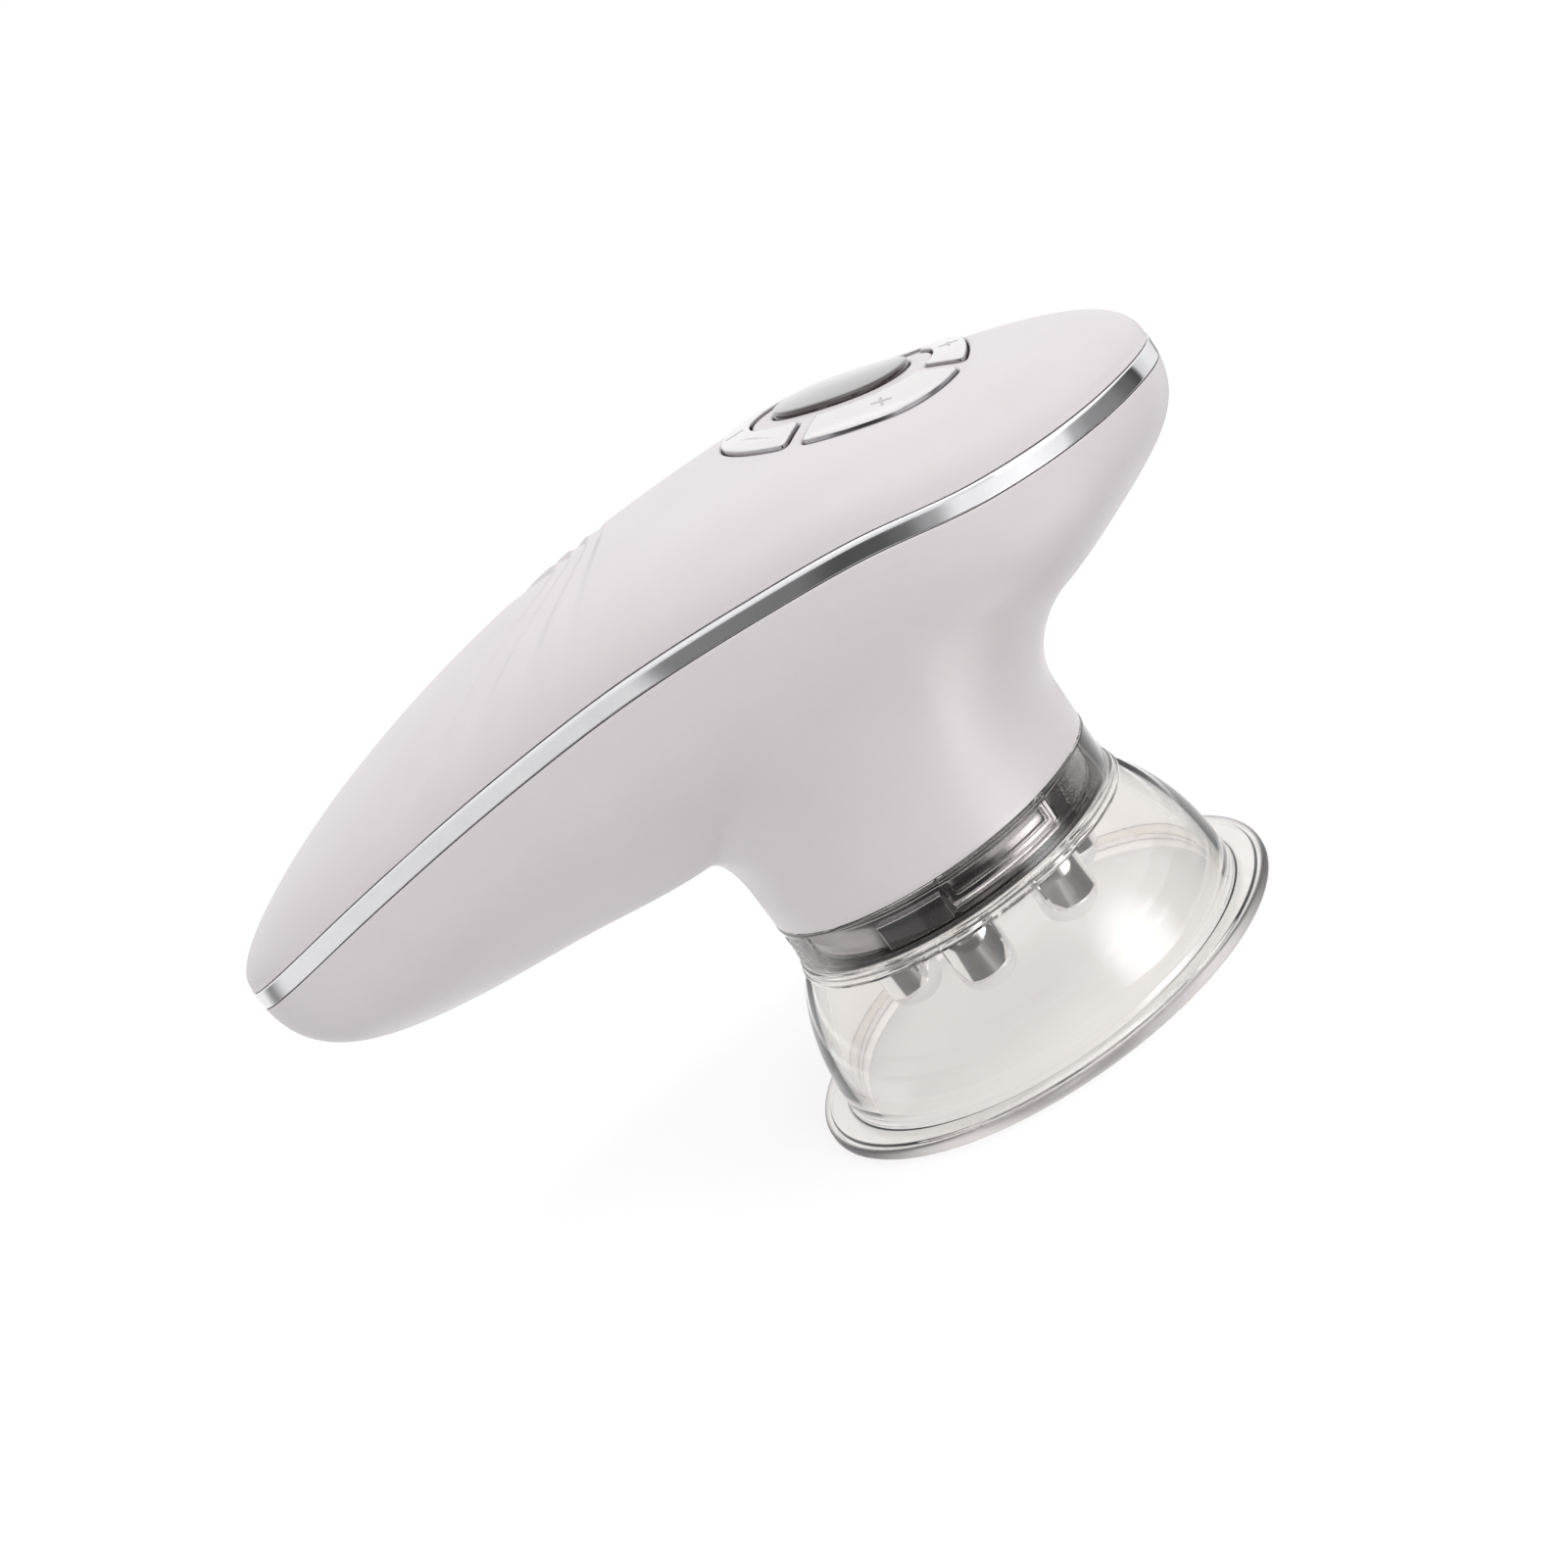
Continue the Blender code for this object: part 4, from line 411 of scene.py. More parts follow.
class Tree:
    """A node tree with short calls to add and join its nodes."""

    def __init__(self, tree: NodeTree) -> None:
        """Wraps an existing tree."""
        self.tree = tree

    def add(self, kind: str, values: Values | None = None, **settings: object) -> Node:
        """Adds a node.

        Args:
            kind: The node's type.
            values: Values or sockets for its inputs, by name or number.
            settings: The node's own settings.

        Returns:
            The node.
        """
        node = self.tree.nodes.new(kind)
        for name, setting in settings.items():
            setattr(node, name, setting)
        for key, value in (values or {}).items():
            if isinstance(value, NodeSocket):
                self.tree.links.new(value, node.inputs[key])
            else:
                node.inputs[key].default_value = value
        return node

    def join(self, source: NodeSocket, target: NodeSocket) -> None:
        """Links one socket to another."""
        self.tree.links.new(source, target)

    def maths(self, operation: str, *values: object, clamp: bool = False) -> NodeSocket:
        """Adds a Math node on numbers or sockets."""
        node = self.add("ShaderNodeMath", dict(enumerate(values)), operation=operation, use_clamp=clamp)
        return node.outputs[0]

    def blend(self, share: object, first: object, second: object) -> NodeSocket:
        """Mixes two colours, by the share of the second."""
        return self.add("ShaderNodeMix", {0: share, 6: first, 7: second}, data_type="RGBA").outputs[2]

    def place(self) -> NodeSocket:
        """The object's own coordinates."""
        return self.add("ShaderNodeTexCoord").outputs["Object"]

    def about_axis(self) -> tuple[NodeSocket, NodeSocket]:
        """Distance from the cup's axis, and height.

        Returns:
            The two values.
        """
        x, y, height = self.add("ShaderNodeSeparateXYZ", {0: self.place()}).outputs
        along = self.maths("SUBTRACT", x, FORM.cup_x)
        squares = self.maths("MULTIPLY_ADD", y, y, self.maths("MULTIPLY", along, along))
        return self.maths("SQRT", squares), height

    def two_shaders(self, share: object, first: object, second: object) -> None:
        """Ends a material in one shader or the other, by the share of the second."""
        mixed = self.add("ShaderNodeMixShader", {0: share, 1: first, 2: second})
        self.join(mixed.outputs[0], self.tree.nodes["Material Output"].inputs["Surface"])


class Texture(Enum):
    """How a finish varies over its surface."""

    MOULDED = "moulded"
    TURNED = "turned"
    BRUSHED = "brushed"
    TRACES = "traces"


def socket(tree: NodeTree, name: str, kind: str, output: bool = False, value: float | None = None) -> None:
    """Adds a named socket to a group's interface.

    Args:
        tree: The group.
        name: The socket's name.
        kind: Float, Color, Vector and so on.
        output: Whether it is an output.
        value: Its default value.
    """
    way = "OUTPUT" if output else "INPUT"
    made = tree.interface.new_socket(name=name, in_out=way, socket_type="NodeSocket" + kind)
    if value is not None:
        made.default_value = value


def rgba(colour: Sequence[float]) -> tuple[float, float, float, float]:
    """A colour with full alpha."""
    return (colour[0], colour[1], colour[2], 1.0)


def bare_material(name: str) -> tuple[Material, Tree]:
    """New material without nodes, and its tree."""
    material = bpy.data.materials.new(name)
    material.use_nodes = True
    material.node_tree.nodes.clear()
    return material, Tree(material.node_tree)


def shaded_material(name: str, values: Values) -> tuple[Material, Tree, Node]:
    """New material with one Principled shader.

    Args:
        name: The material's name.
        values: Plain values of the shader's inputs.

    Returns:
        The material, its tree and the shader.
    """
    material = bpy.data.materials.new(name)
    material.use_nodes = True
    shader = material.node_tree.nodes["Principled BSDF"]
    for key, value in values.items():
        shader.inputs[key].default_value = value
    return material, Tree(material.node_tree), shader


@dataclass(frozen=True)
class SurfaceGroups:
    """Shader groups that several finishes share."""

    octaves: float = 4.0
    fine_share: float = 0.35
    scratch_stretch: float = 40.0

    def make(self, texture: Texture) -> NodeTree:
        """Builds one group with its inputs and outputs.

        Args:
            texture: Which one.

        Returns:
            The group, with Scale, Roughness, Variation and Depth in, and Roughness, Height and Mask out.
        """
        tree = bpy.data.node_groups.new(texture.value + "_surface", "ShaderNodeTree")
        for name, value in (("Scale", 200.0), ("Roughness", 0.3), ("Variation", 0.05), ("Depth", 0.5)):
            socket(tree, name, "Float", value=value)
        for name in ("Roughness", "Height", "Mask"):
            socket(tree, name, "Float", output=True)
        work = Tree(tree)
        given = work.add("NodeGroupInput")
        out = work.add("NodeGroupOutput")
        place = work.place()
        if texture is Texture.TURNED:
            radius, height = work.about_axis()
            place = work.add("ShaderNodeCombineXYZ", {0: radius, 1: height, 2: 0.0}).outputs[0]
        if texture is Texture.BRUSHED:
            stretch = (1.0, self.scratch_stretch, self.scratch_stretch)
            place = work.add("ShaderNodeMapping", {0: place, "Scale": stretch}).outputs[0]
        scale = given.outputs["Scale"]
        coarse = work.add("ShaderNodeTexNoise", {"Vector": place, "Scale": scale, "Detail": self.octaves})
        finer = work.maths("MULTIPLY", scale, self.octaves * 2)
        fine = work.add("ShaderNodeTexNoise", {"Vector": place, "Scale": finer, "Detail": 1.0})
        mixed = work.maths("MULTIPLY_ADD", fine.outputs["Fac"], self.fine_share, coarse.outputs["Fac"])
        centred = work.maths("SUBTRACT", mixed, (1 + self.fine_share) / 2)
        shift = work.maths("MULTIPLY", centred, given.outputs["Variation"])
        work.join(work.maths("ADD", given.outputs["Roughness"], shift, clamp=True), out.inputs["Roughness"])
        work.join(work.maths("MULTIPLY", mixed, given.outputs["Depth"]), out.inputs["Height"])
        work.join(work.maths("MULTIPLY_ADD", centred, 2.0, 0.5, clamp=True), out.inputs["Mask"])
        return tree

    @cached_property
    def trees(self) -> dict[Texture, NodeTree]:
        """All the groups, by texture."""
        return {texture: self.make(texture) for texture in Texture}


GROUPS = SurfaceGroups()


@dataclass(frozen=True)
class Finish:
    """One material: its colours, its gloss and how it varies over the surface."""

    name: str
    colour: tuple[float, float, float]
    shade: tuple[float, float, float]
    roughness: float = 0.3
    variation: float = 0.06
    texture: Texture = Texture.MOULDED
    scale: float = 250.0
    depth: float = 0.2
    bump: float = 0.05
    bump_reach: float = 0.0002
    metallic: float = 0.0
    coat: float = 0.0
    coat_roughness: float = 0.05
    ior: float = 1.5
    transmission: float = 0.0
    sheen: float = 0.0
    specular_tint: tuple[float, float, float] = (1.0, 1.0, 1.0)

    def build(self) -> Material:
        """Builds the material.

        Returns:
            A node-based material with one Principled shader.
        """
        material, tree, shader = shaded_material(self.name, {
            "Metallic": self.metallic, "Coat Weight": self.coat, "Coat Roughness": self.coat_roughness,
            "IOR": self.ior, "Transmission Weight": self.transmission, "Sheen Weight": self.sheen,
            "Specular Tint": rgba(self.specular_tint),
        })
        surface = tree.add(
            "ShaderNodeGroup",
            {"Scale": self.scale, "Roughness": self.roughness,
             "Variation": self.variation, "Depth": self.depth},
            node_tree=GROUPS.trees[self.texture],
        )
        tree.join(self.paint(tree, surface), shader.inputs["Base Color"])
        tree.join(self.gloss(tree, surface), shader.inputs["Roughness"])
        relief = {"Strength": self.bump, "Distance": self.bump_reach, "Height": surface.outputs["Height"]}
        bump = tree.add("ShaderNodeBump", relief)
        tree.join(bump.outputs["Normal"], shader.inputs["Normal"])
        self.finish_output(tree, shader)
        return material

    def paint(self, tree: Tree, surface: Node) -> NodeSocket:
        """Mixes the finish's two colours by the surface's mask."""
        return tree.blend(surface.outputs["Mask"], rgba(self.colour), rgba(self.shade))

    def gloss(self, tree: Tree, surface: Node) -> NodeSocket:
        """The surface's roughness."""
        return surface.outputs["Roughness"]

    def finish_output(self, tree: Tree, shader: Node) -> None:
        """Leaves the shader joined to the output as it is."""


@dataclass(frozen=True)
class ClearFinish(Finish):
    """Clear moulded plastic, which lets the lamps' light through to what is behind it."""

    shadow: tuple[float, float, float] = (0.93, 0.92, 0.92)
    # Painted shade: the grey that the rim's outer wall is mixed towards.
    edge_tint: tuple[float, float, float] = (0.93, 0.89, 0.91)
    edge_roughness: float = 0.60
    edge_from: float = 0.0441
    edge_to: float = 0.0447

    def edge(self, tree: Tree) -> NodeSocket:
        """Mask of the rim's outer wall."""
        radius, _ = tree.about_axis()
        return tree.add("ShaderNodeMapRange", {0: radius, 1: self.edge_from, 2: self.edge_to}).outputs[0]

    def paint(self, tree: Tree, surface: Node) -> NodeSocket:
        """Paints grey shade onto the rim's outer wall, where light runs along the plastic."""
        return tree.blend(self.edge(tree), super().paint(tree, surface), rgba(self.edge_tint))

    def gloss(self, tree: Tree, surface: Node) -> NodeSocket:
        """Dulls the rim's outer wall."""
        return tree.maths("MULTIPLY_ADD", self.edge(tree), self.edge_roughness, surface.outputs["Roughness"])

    def finish_output(self, tree: Tree, shader: Node) -> None:
        """Lets lamps through the wall, tinted.

        Args:
            tree: The material's nodes.
            shader: The Principled shader.
        """
        shadowed = tree.add("ShaderNodeLightPath").outputs["Is Shadow Ray"]
        through = tree.add("ShaderNodeBsdfTransparent", {"Color": rgba(self.shadow)})
        tree.two_shaders(shadowed, shader.outputs[0], through.outputs[0])


@dataclass(frozen=True)
class BoardFinish(Finish):
    """Green circuit board with lighter copper tracks under its lacquer."""

    track: tuple[float, float, float] = (0.06, 0.34, 0.14)
    track_width: float = 0.03
    pitch: float = 420.0

    def paint(self, tree: Tree, surface: Node) -> NodeSocket:
        """Adds tracks to the board's colour.

        Args:
            tree: The material's nodes.
            surface: The surface group's node.

        Returns:
            The colour to use.
        """
        base = super().paint(tree, surface)
        bricks = tree.add(
            "ShaderNodeTexBrick",
            {"Vector": tree.place(), "Color1": BLACK, "Color2": BLACK, "Mortar": WHITE,
             "Scale": self.pitch, "Mortar Size": self.track_width},
        )
        return tree.blend(bricks.outputs["Color"], base, rgba(self.track))


@dataclass(frozen=True)
class Finishes:
    """Every finish of the massager: the record's slots, and the marks, the grip patches and the seal."""

    white_shell: Finish = Finish(
        "satin_white_shell", (0.845, 0.795, 0.81), (0.83, 0.775, 0.79), roughness=0.42, variation=0.05,
        scale=90.0, bump=0.03, coat=0.25, coat_roughness=0.40, ior=1.47,
    )
    white_key: Finish = Finish(
        "gloss_white_key", (0.89, 0.865, 0.865), (0.87, 0.845, 0.845), roughness=0.16, variation=0.04,
        scale=300.0, bump=0.02, coat=0.5,
    )
    mark_grey: Finish = Finish(
        "printed_grey_mark", (0.62, 0.61, 0.62), (0.58, 0.57, 0.58), roughness=0.25, scale=300.0, bump=0.02,
    )
    polished_band: Finish = Finish(
        "polished_chrome", (0.86, 0.86, 0.87), (0.80, 0.80, 0.82), roughness=0.06, variation=0.05,
        scale=160.0, bump=0.01, metallic=1.0,
    )
    dark_chrome: Finish = Finish(
        "dark_chrome", (0.40, 0.385, 0.405), (0.34, 0.325, 0.34), roughness=0.09, variation=0.08,
        texture=Texture.TURNED, scale=900.0, bump=0.03, metallic=1.0,
    )
    # The lens's pink specular tint is a painted reflection: it makes what the lens mirrors look pinkish.
    dark_lens: Finish = Finish(
        "smoked_lens", (0.034, 0.020, 0.022), (0.026, 0.015, 0.017), roughness=0.07, variation=0.04,
        scale=120.0, bump=0.005, specular_tint=(1.0, 0.92, 0.92), coat=1.0, coat_roughness=0.03,
    )
    clear_plastic: Finish = ClearFinish(
        "clear_plastic", (0.955, 0.935, 0.91), (0.945, 0.925, 0.90), roughness=0.02, variation=0.03,
        scale=40.0, depth=0.1, bump=0.002, transmission=1.0, ior=1.45,
    )
    frosted_plastic: Finish = ClearFinish(
        "frosted_clear_plastic", (0.97, 0.965, 0.97), (0.94, 0.935, 0.94), roughness=0.22, variation=0.15,
        scale=700.0, depth=0.3, bump=0.1, transmission=1.0, ior=1.45,
    )
    steel: Finish = Finish(
        "zinc_steel", (0.62, 0.62, 0.64), (0.50, 0.50, 0.52), roughness=0.28, variation=0.12,
        texture=Texture.BRUSHED, scale=120.0, bump=0.08, metallic=1.0,
    )
    motor_can: Finish = Finish(
        "motor_can_metal", (0.66, 0.66, 0.68), (0.55, 0.55, 0.57), roughness=0.32, variation=0.14,
        texture=Texture.BRUSHED, scale=90.0, bump=0.10, metallic=1.0,
    )
    board_green: Finish = BoardFinish(
        "board_lacquer", (0.025, 0.20, 0.09), (0.02, 0.16, 0.07), roughness=0.35, texture=Texture.TRACES,
        scale=400.0, bump=0.06, coat=0.3,
    )
    inner_grey: Finish = Finish(
        "inner_grey_moulding", (0.34, 0.34, 0.36), (0.30, 0.30, 0.32), roughness=0.52, variation=0.10,
        scale=500.0, depth=0.4, bump=0.15,
    )
    silicone: Finish = Finish(
        "silicone_rubber", (0.76, 0.755, 0.75), (0.70, 0.695, 0.69), roughness=0.6, variation=0.08,
        scale=350.0, bump=0.1, sheen=0.1,
    )
    # Painted shade: the seal rubber is coloured dark to stand in for the shade right under the base ring.
    seal_rubber: Finish = Finish(
        "painted_shade_seal", (0.085, 0.080, 0.084), (0.065, 0.060, 0.064), roughness=0.32, variation=0.08,
        scale=350.0, bump=0.05,
    )
    battery_wrap: Finish = Finish(
        "battery_shrink_wrap", (0.05, 0.18, 0.48), (0.04, 0.15, 0.42), roughness=0.3, variation=0.1,
        scale=140.0, bump=0.08, coat=0.2,
    )
    black_plastic: Finish = Finish(
        "black_moulding", (0.028, 0.028, 0.030), (0.020, 0.020, 0.022), roughness=0.45, variation=0.1,
        scale=420.0, depth=0.4, bump=0.12,
    )

    @cached_property
    def built(self) -> dict[str, Material]:
        """Each finish built once, by its name here."""
        return {slot: getattr(self, slot).build() for slot in self.__dataclass_fields__}


FINISHES = Finishes()


@dataclass(frozen=True)
class PebbleForm:
    """The pebble-shaped body as a form: its outline, crown and underside."""

    length: float = 0.1867
    nose_reach: float = 0.0747
    handle_width: float = 0.0602
    head_width: float = 0.0994
    seam_level: float = 0.0930
    under_depth: float = 0.0400
    crown_rear: float = 0.0156
    crown_front: float = 0.0173
    rim_land: float = 0.0006
    crown_power: float = 2.3
    under_power: float = 2.7
    tail_fullness: float = 0.75
    widening_shares: tuple[float, float] = (-0.9, 1.3)
    nose_start_share: float = 0.75
    nose_taper_share: float = 0.16
    crown_rise_shares: tuple[float, float] = (0.52, 0.84)
    seam_shares: tuple[tuple[float, float], ...] = (
        (0.000, 0.842), (0.171, 0.917), (0.354, 0.976), (0.493, 1.001), (0.611, 0.999),
        (0.707, 0.984), (0.814, 0.943), (0.921, 0.922), (1.010, 0.913),
    )
    depth_shares: tuple[tuple[float, float], ...] = (
        (0.000, 0.850), (0.118, 0.875), (0.279, 0.922), (0.423, 0.998),
        (0.600, 0.918), (0.814, 0.765), (0.953, 0.628), (1.010, 0.642),
    )
    neck_radius: float = 0.0313
    flare_bottom: float = 0.0444
    flare_front: float = 0.0140
    flare_rear: float = 0.0030
    flare_most_share: float = 0.9
    columns: int = 288
    column_warp: float = 0.25

    @cached_property
    def cup_x(self) -> float:
        """Where the cup's axis stands along X."""
        return self.length / 2 - self.nose_reach

    @cached_property
    def centre(self) -> tuple[float, float]:
        """Where the cup's axis stands in plan."""
        return (self.cup_x, 0.0)

    def from_tail(self, x: np.ndarray) -> np.ndarray:
        """Place along the body, from 0 at the tail to 1 at the nose."""
        return (x + self.length / 2) / self.length

    def seam(self, x: np.ndarray) -> np.ndarray:
        """Height of the crown's lower edge at x."""
        return self.seam_level * curve_through(self.seam_shares, self.from_tail(x))

    def outline(self, inset: float = 0.0) -> tuple[np.ndarray, np.ndarray]:
        """Outline in plan.

        Args:
            inset: How far it is drawn in.

        Returns:
            Its x and y values.
        """
        even = np.arange(self.columns) * math.tau / self.columns
        turn = even + self.column_warp * np.sin(2 * even)
        share = np.cos(turn)
        start = self.nose_start_share
        nose = 1 - self.nose_taper_share * np.clip((share - start) / (1 - start), 0, 1) ** 2
        widening = (self.head_width - self.handle_width) / 2 * eased(*self.widening_shares, share)
        x = self.length / 2 * share
        fullness = np.where(share < 0, self.tail_fullness, 1.0)
        across = np.sin(turn)
        y = (self.handle_width / 2 + widening) * nose * np.sign(across) * np.abs(across) ** fullness
        along_x = (np.roll(x, -1) - np.roll(x, 1)) / 2
        along_y = (np.roll(y, -1) - np.roll(y, 1)) / 2
        size = np.hypot(along_x, along_y)
        return x - inset * along_y / size, y + inset * along_x / size

    @cached_property
    def polar(self) -> tuple[np.ndarray, np.ndarray]:
        """Angles and reaches of the outline from the cup's axis, in order of angle."""
        x, y = self.outline()
        angle = np.arctan2(y, x - self.cup_x)
        order = np.argsort(angle)
        return angle[order], np.hypot(x - self.cup_x, y)[order]

    def share_at(self, x: np.ndarray, y: np.ndarray) -> np.ndarray:
        """How far points lie from the cup's axis, as shares of the outline."""
        reach = np.interp(np.arctan2(y, x - self.cup_x), *self.polar, period=math.tau)
        return np.hypot(x - self.cup_x, y) / reach

    def scaled(self, share: float | np.ndarray, inset: float = 0.0) -> tuple[np.ndarray, np.ndarray]:
        """The outline or its inset line, drawn in towards the cup's axis."""
        x, y = self.outline(inset)
        return self.cup_x + share * (x - self.cup_x), share * y

    def crown(self, share: np.ndarray, x: np.ndarray) -> np.ndarray:
        """Height of the crown where the outline is scaled by share."""
        step = (self.crown_front - self.crown_rear) * eased(*self.crown_rise_shares, self.from_tail(x))
        rise = self.crown_rear + step - self.rim_land
        power = self.crown_power
        return self.seam(x) + self.rim_land + rise * (1 - np.minimum(share, 1.0) ** power) ** (1 / power)

    def crown_at(self, x: np.ndarray, y: np.ndarray) -> np.ndarray:
        """Height of the crown over points in plan."""
        return self.crown(self.share_at(x, y), x)

    def underside(self, x: np.ndarray, y: np.ndarray) -> np.ndarray:
        """Height of the underside over points in plan, with the neck's flare.

        Args:
            x: Places along the body.
            y: Places across it.

        Returns:
            Heights.
        """
        share = np.clip(self.share_at(x, y), 1e-9, 1.0)
        radius = np.hypot(x - self.cup_x, y)
        depth = self.under_depth * curve_through(self.depth_shares, self.from_tail(x))
        pebble = self.seam(x) - depth * (1 - share**self.under_power) ** (1 / self.under_power)
        front = (1 + (x - self.cup_x) / radius) / 2
        room = self.flare_most_share * (radius / share - self.neck_radius)
        reach = np.minimum(self.flare_rear + (self.flare_front - self.flare_rear) * front, room)
        u = np.clip((radius - self.neck_radius) / reach, 0, 1)
        return self.flare_bottom + (pebble - self.flare_bottom) * np.sqrt(u * (2 - u))


FORM = PebbleForm()


@dataclass(frozen=True)
class PanelPlane:
    """The plane of the display and the keys, which touches the crown."""

    reach: float = 0.0293
    lens_radius: float = 0.0117
    settling_rounds: int = 6

    @cached_property
    def place(self) -> Vector:
        """The plane's middle, on the crown."""
        x = FORM.cup_x + self.reach
        return Vector((x, 0.0, float(FORM.crown_at(np.array([x]), np.array([0.0]))[0])))

    @cached_property
    def tilt(self) -> float:
        """How far the plane leans towards the nose."""
        x = FORM.cup_x + self.reach + np.array([self.lens_radius, -self.lens_radius])
        front, rear = FORM.crown_at(x, np.zeros(2))
        return -math.atan((front - rear) / (2 * self.lens_radius))

    @cached_property
    def turn(self) -> np.ndarray:
        """Rotation from the plane's own frame to the model's."""
        return np.array(Matrix.Rotation(self.tilt, 3, "Y"))

    def on_crown(self, u: np.ndarray, v: np.ndarray, proud: np.ndarray | float) -> np.ndarray:
        """Points over the crown, from the plane's own coordinates.

        Args:
            u: Places towards the nose.
            v: Places across.
            proud: How far over the crown, square to the plane.

        Returns:
            Points in the model's frame.
        """
        lift = np.zeros(len(u))
        for _ in range(self.settling_rounds):
            points = np.array(self.place) + np.stack([u, v, lift], 1) @ self.turn.T
            lift += (FORM.crown_at(points[:, 0], points[:, 1]) - points[:, 2]) * math.cos(self.tilt)
        local = np.stack([u, v, lift + proud], 1)
        return np.array(self.place) + local @ self.turn.T

    def flat(self, u: np.ndarray, v: np.ndarray, height: float) -> np.ndarray:
        """Points at one height over the plane, in the model's frame."""
        local = np.stack([u, v, np.full(len(u), height)], 1)
        return np.array(self.place) + local @ self.turn.T


PANEL = PanelPlane()


@dataclass
class Housings:
    """The two halves of the body and the polished band in their seam."""

    wall: float = 0.0020
    lip: float = 0.00022
    inset: float = 0.0001
    neck_bottom: float = 0.0375
    band_height: float = 0.0030
    band_grow: float = 0.00016
    band_depth: float = 0.0016
    band_rounding: float = 0.0003
    lip_steps: int = 4
    lip_turn: float = 0.3
    edge_rings: int = 32
    crown_rings: int = 200
    inner_rings: int = 18
    even_share: float = 0.72
    inset_reach: float = 0.03
    pole_offset: float = 0.000001
    neck_rings: int = 8
    under_rings: int = 84
    pleat_reach: float = 0.0159
    pleat_pitch: float = 0.0033
    pleat_bends: tuple[float, float, float] = (7.0, 4.5, 2.0)
    pleat_depths: tuple[float, ...] = (0.0005, 0.0010, 0.0011, 0.0009)
    pleat_lengths: tuple[float, ...] = (1.0, 1.0, 1.0, 2.4)
    pleat_edge_share: float = 0.30
    pleat_fade: tuple[float, float] = (0.025, 0.034)
    socket_size: tuple[float, float, float] = (0.02, 0.0096, 0.0040)
    socket_rounding: float = 0.0014
    socket_steps: int = 6

    def lip_rows(self, level: Callable[[np.ndarray], np.ndarray], up: float) -> Rows:
        """Rows that round over the edge next to the seam.

        Args:
            level: Height of the edge at x.
            up: 1 where the shell rises from the edge, -1 where it falls from it.

        Returns:
            Rows from the edge's flat to the shell's side.
        """
        rows: Rows = []
        for cos, sin in quarter(self.lip_steps)[:-1]:
            x, y = FORM.outline(self.inset + self.lip * (1 - sin))
            height = level(FORM.outline()[0]) + up * self.lip * (1 - cos)
            rows.append(np.stack([x, y, height], 1))
        return rows

    def pleat_drop(self, x: np.ndarray, y: np.ndarray) -> np.ndarray:
        """How far the pleats sink the top of the handle.

        Args:
            x: Places along the body.
            y: Places across it.

        Returns:
            Depths, zero away from the pleats.
        """
        first, second, third = self.pleat_bends
        short = self.pleat_reach + first * y**2 + x - FORM.cup_x
        pitch = self.pleat_pitch + second * y**2
        root = np.sqrt(np.maximum(pitch**2 - 4 * third * y**2 * short, 0.0))
        place = -2 * short / (pitch + root)
        number = np.clip(np.floor(place), 0, len(self.pleat_depths) - 1).astype(int)
        within = place - number
        step = eased(0.0, self.pleat_edge_share, within)
        ramp = np.clip(1 - within / np.array(self.pleat_lengths)[number], 0, 1)
        fade = 1 - eased(*self.pleat_fade, np.abs(y))
        return np.where(place > 0, np.array(self.pleat_depths)[number] * step * ramp * fade, 0.0)

    def crown_rows(self) -> Rows:
        """Rows of the crown, from the seam to the pole over the cup's axis.

        Returns:
            The rows, and those of the inside back to the seam.
        """
        rows = self.lip_rows(FORM.seam, 1.0)
        power = FORM.crown_power
        start = math.acos(self.even_share ** (power / 2))
        near_edge = [math.cos(turn) ** (2 / power) for turn in np.linspace(0, start, self.edge_rings)]
        for share in near_edge + list(np.linspace(self.even_share, 0, self.crown_rings)[1:-1]):
            x, y = FORM.scaled(share)
            height = FORM.crown(np.full(len(x), share), x) - self.pleat_drop(x, y) - self.inset
            drawn = 1 - self.inset / self.inset_reach * share
            rows.append(np.stack([FORM.cup_x + (x - FORM.cup_x) * drawn, y * drawn, height], 1))
        by_axis = np.array([FORM.cup_x + self.pole_offset])
        top = float(FORM.crown_at(by_axis, np.zeros(1))[0]) - self.inset
        rows += [np.array([[*FORM.centre, top]]), np.array([[*FORM.centre, top - self.wall]])]
        for turn in np.linspace(math.pi / 2, 0, self.inner_rings + 1)[1:]:
            share = math.cos(turn)
            x, y = FORM.scaled(share, self.inset + self.wall)
            height = FORM.crown(np.full(len(x), share), x) - self.wall
            rows.append(np.stack([x, y, np.maximum(height, FORM.seam(x))], 1))
        return rows

    def under_rows(self) -> Rows:
        """Rows of the underside, from the neck's lower edge to the seam.

        Returns:
            The rows.
        """
        drop = self.band_height + 2 * GAP
        x, y = FORM.outline()
        angle = np.arctan2(y, x - FORM.cup_x)
        reach = np.hypot(x - FORM.cup_x, y)
        round_x, round_y = np.cos(angle), np.sin(angle)
        rows: Rows = []
        turn_in = self.lip * self.lip_turn
        levels = [(self.neck_bottom, self.lip), (self.neck_bottom + turn_in, turn_in)]
        heights = np.linspace(self.neck_bottom + self.lip, FORM.flare_bottom, self.neck_rings)
        for height, inset in levels + [(height, 0.0) for height in heights]:
            radius = FORM.neck_radius - inset
            level = np.full(len(x), height)
            rows.append(np.stack([FORM.cup_x + radius * round_x, radius * round_y, level], 1))
        power = FORM.under_power
        depth = FORM.under_depth * curve_through(FORM.depth_shares, FORM.from_tail(x))
        edge = (1 - ((drop + self.lip) / depth) ** power) ** (1 / power)
        first = np.arcsin((FORM.neck_radius / reach) ** (power / 2))
        last = np.arcsin(edge ** (power / 2))
        for i in range(1, self.under_rings + 1):
            along = (1 - math.cos(i * math.pi / self.under_rings)) / 2
            share = np.sin(first + (last - first) * along) ** (2 / power)
            px, py = FORM.scaled(share)
            rows.append(np.stack([px, py, FORM.underside(px, py)], 1))
        return rows + self.lip_rows(lambda at: FORM.seam(at) - drop, -1.0)[::-1]

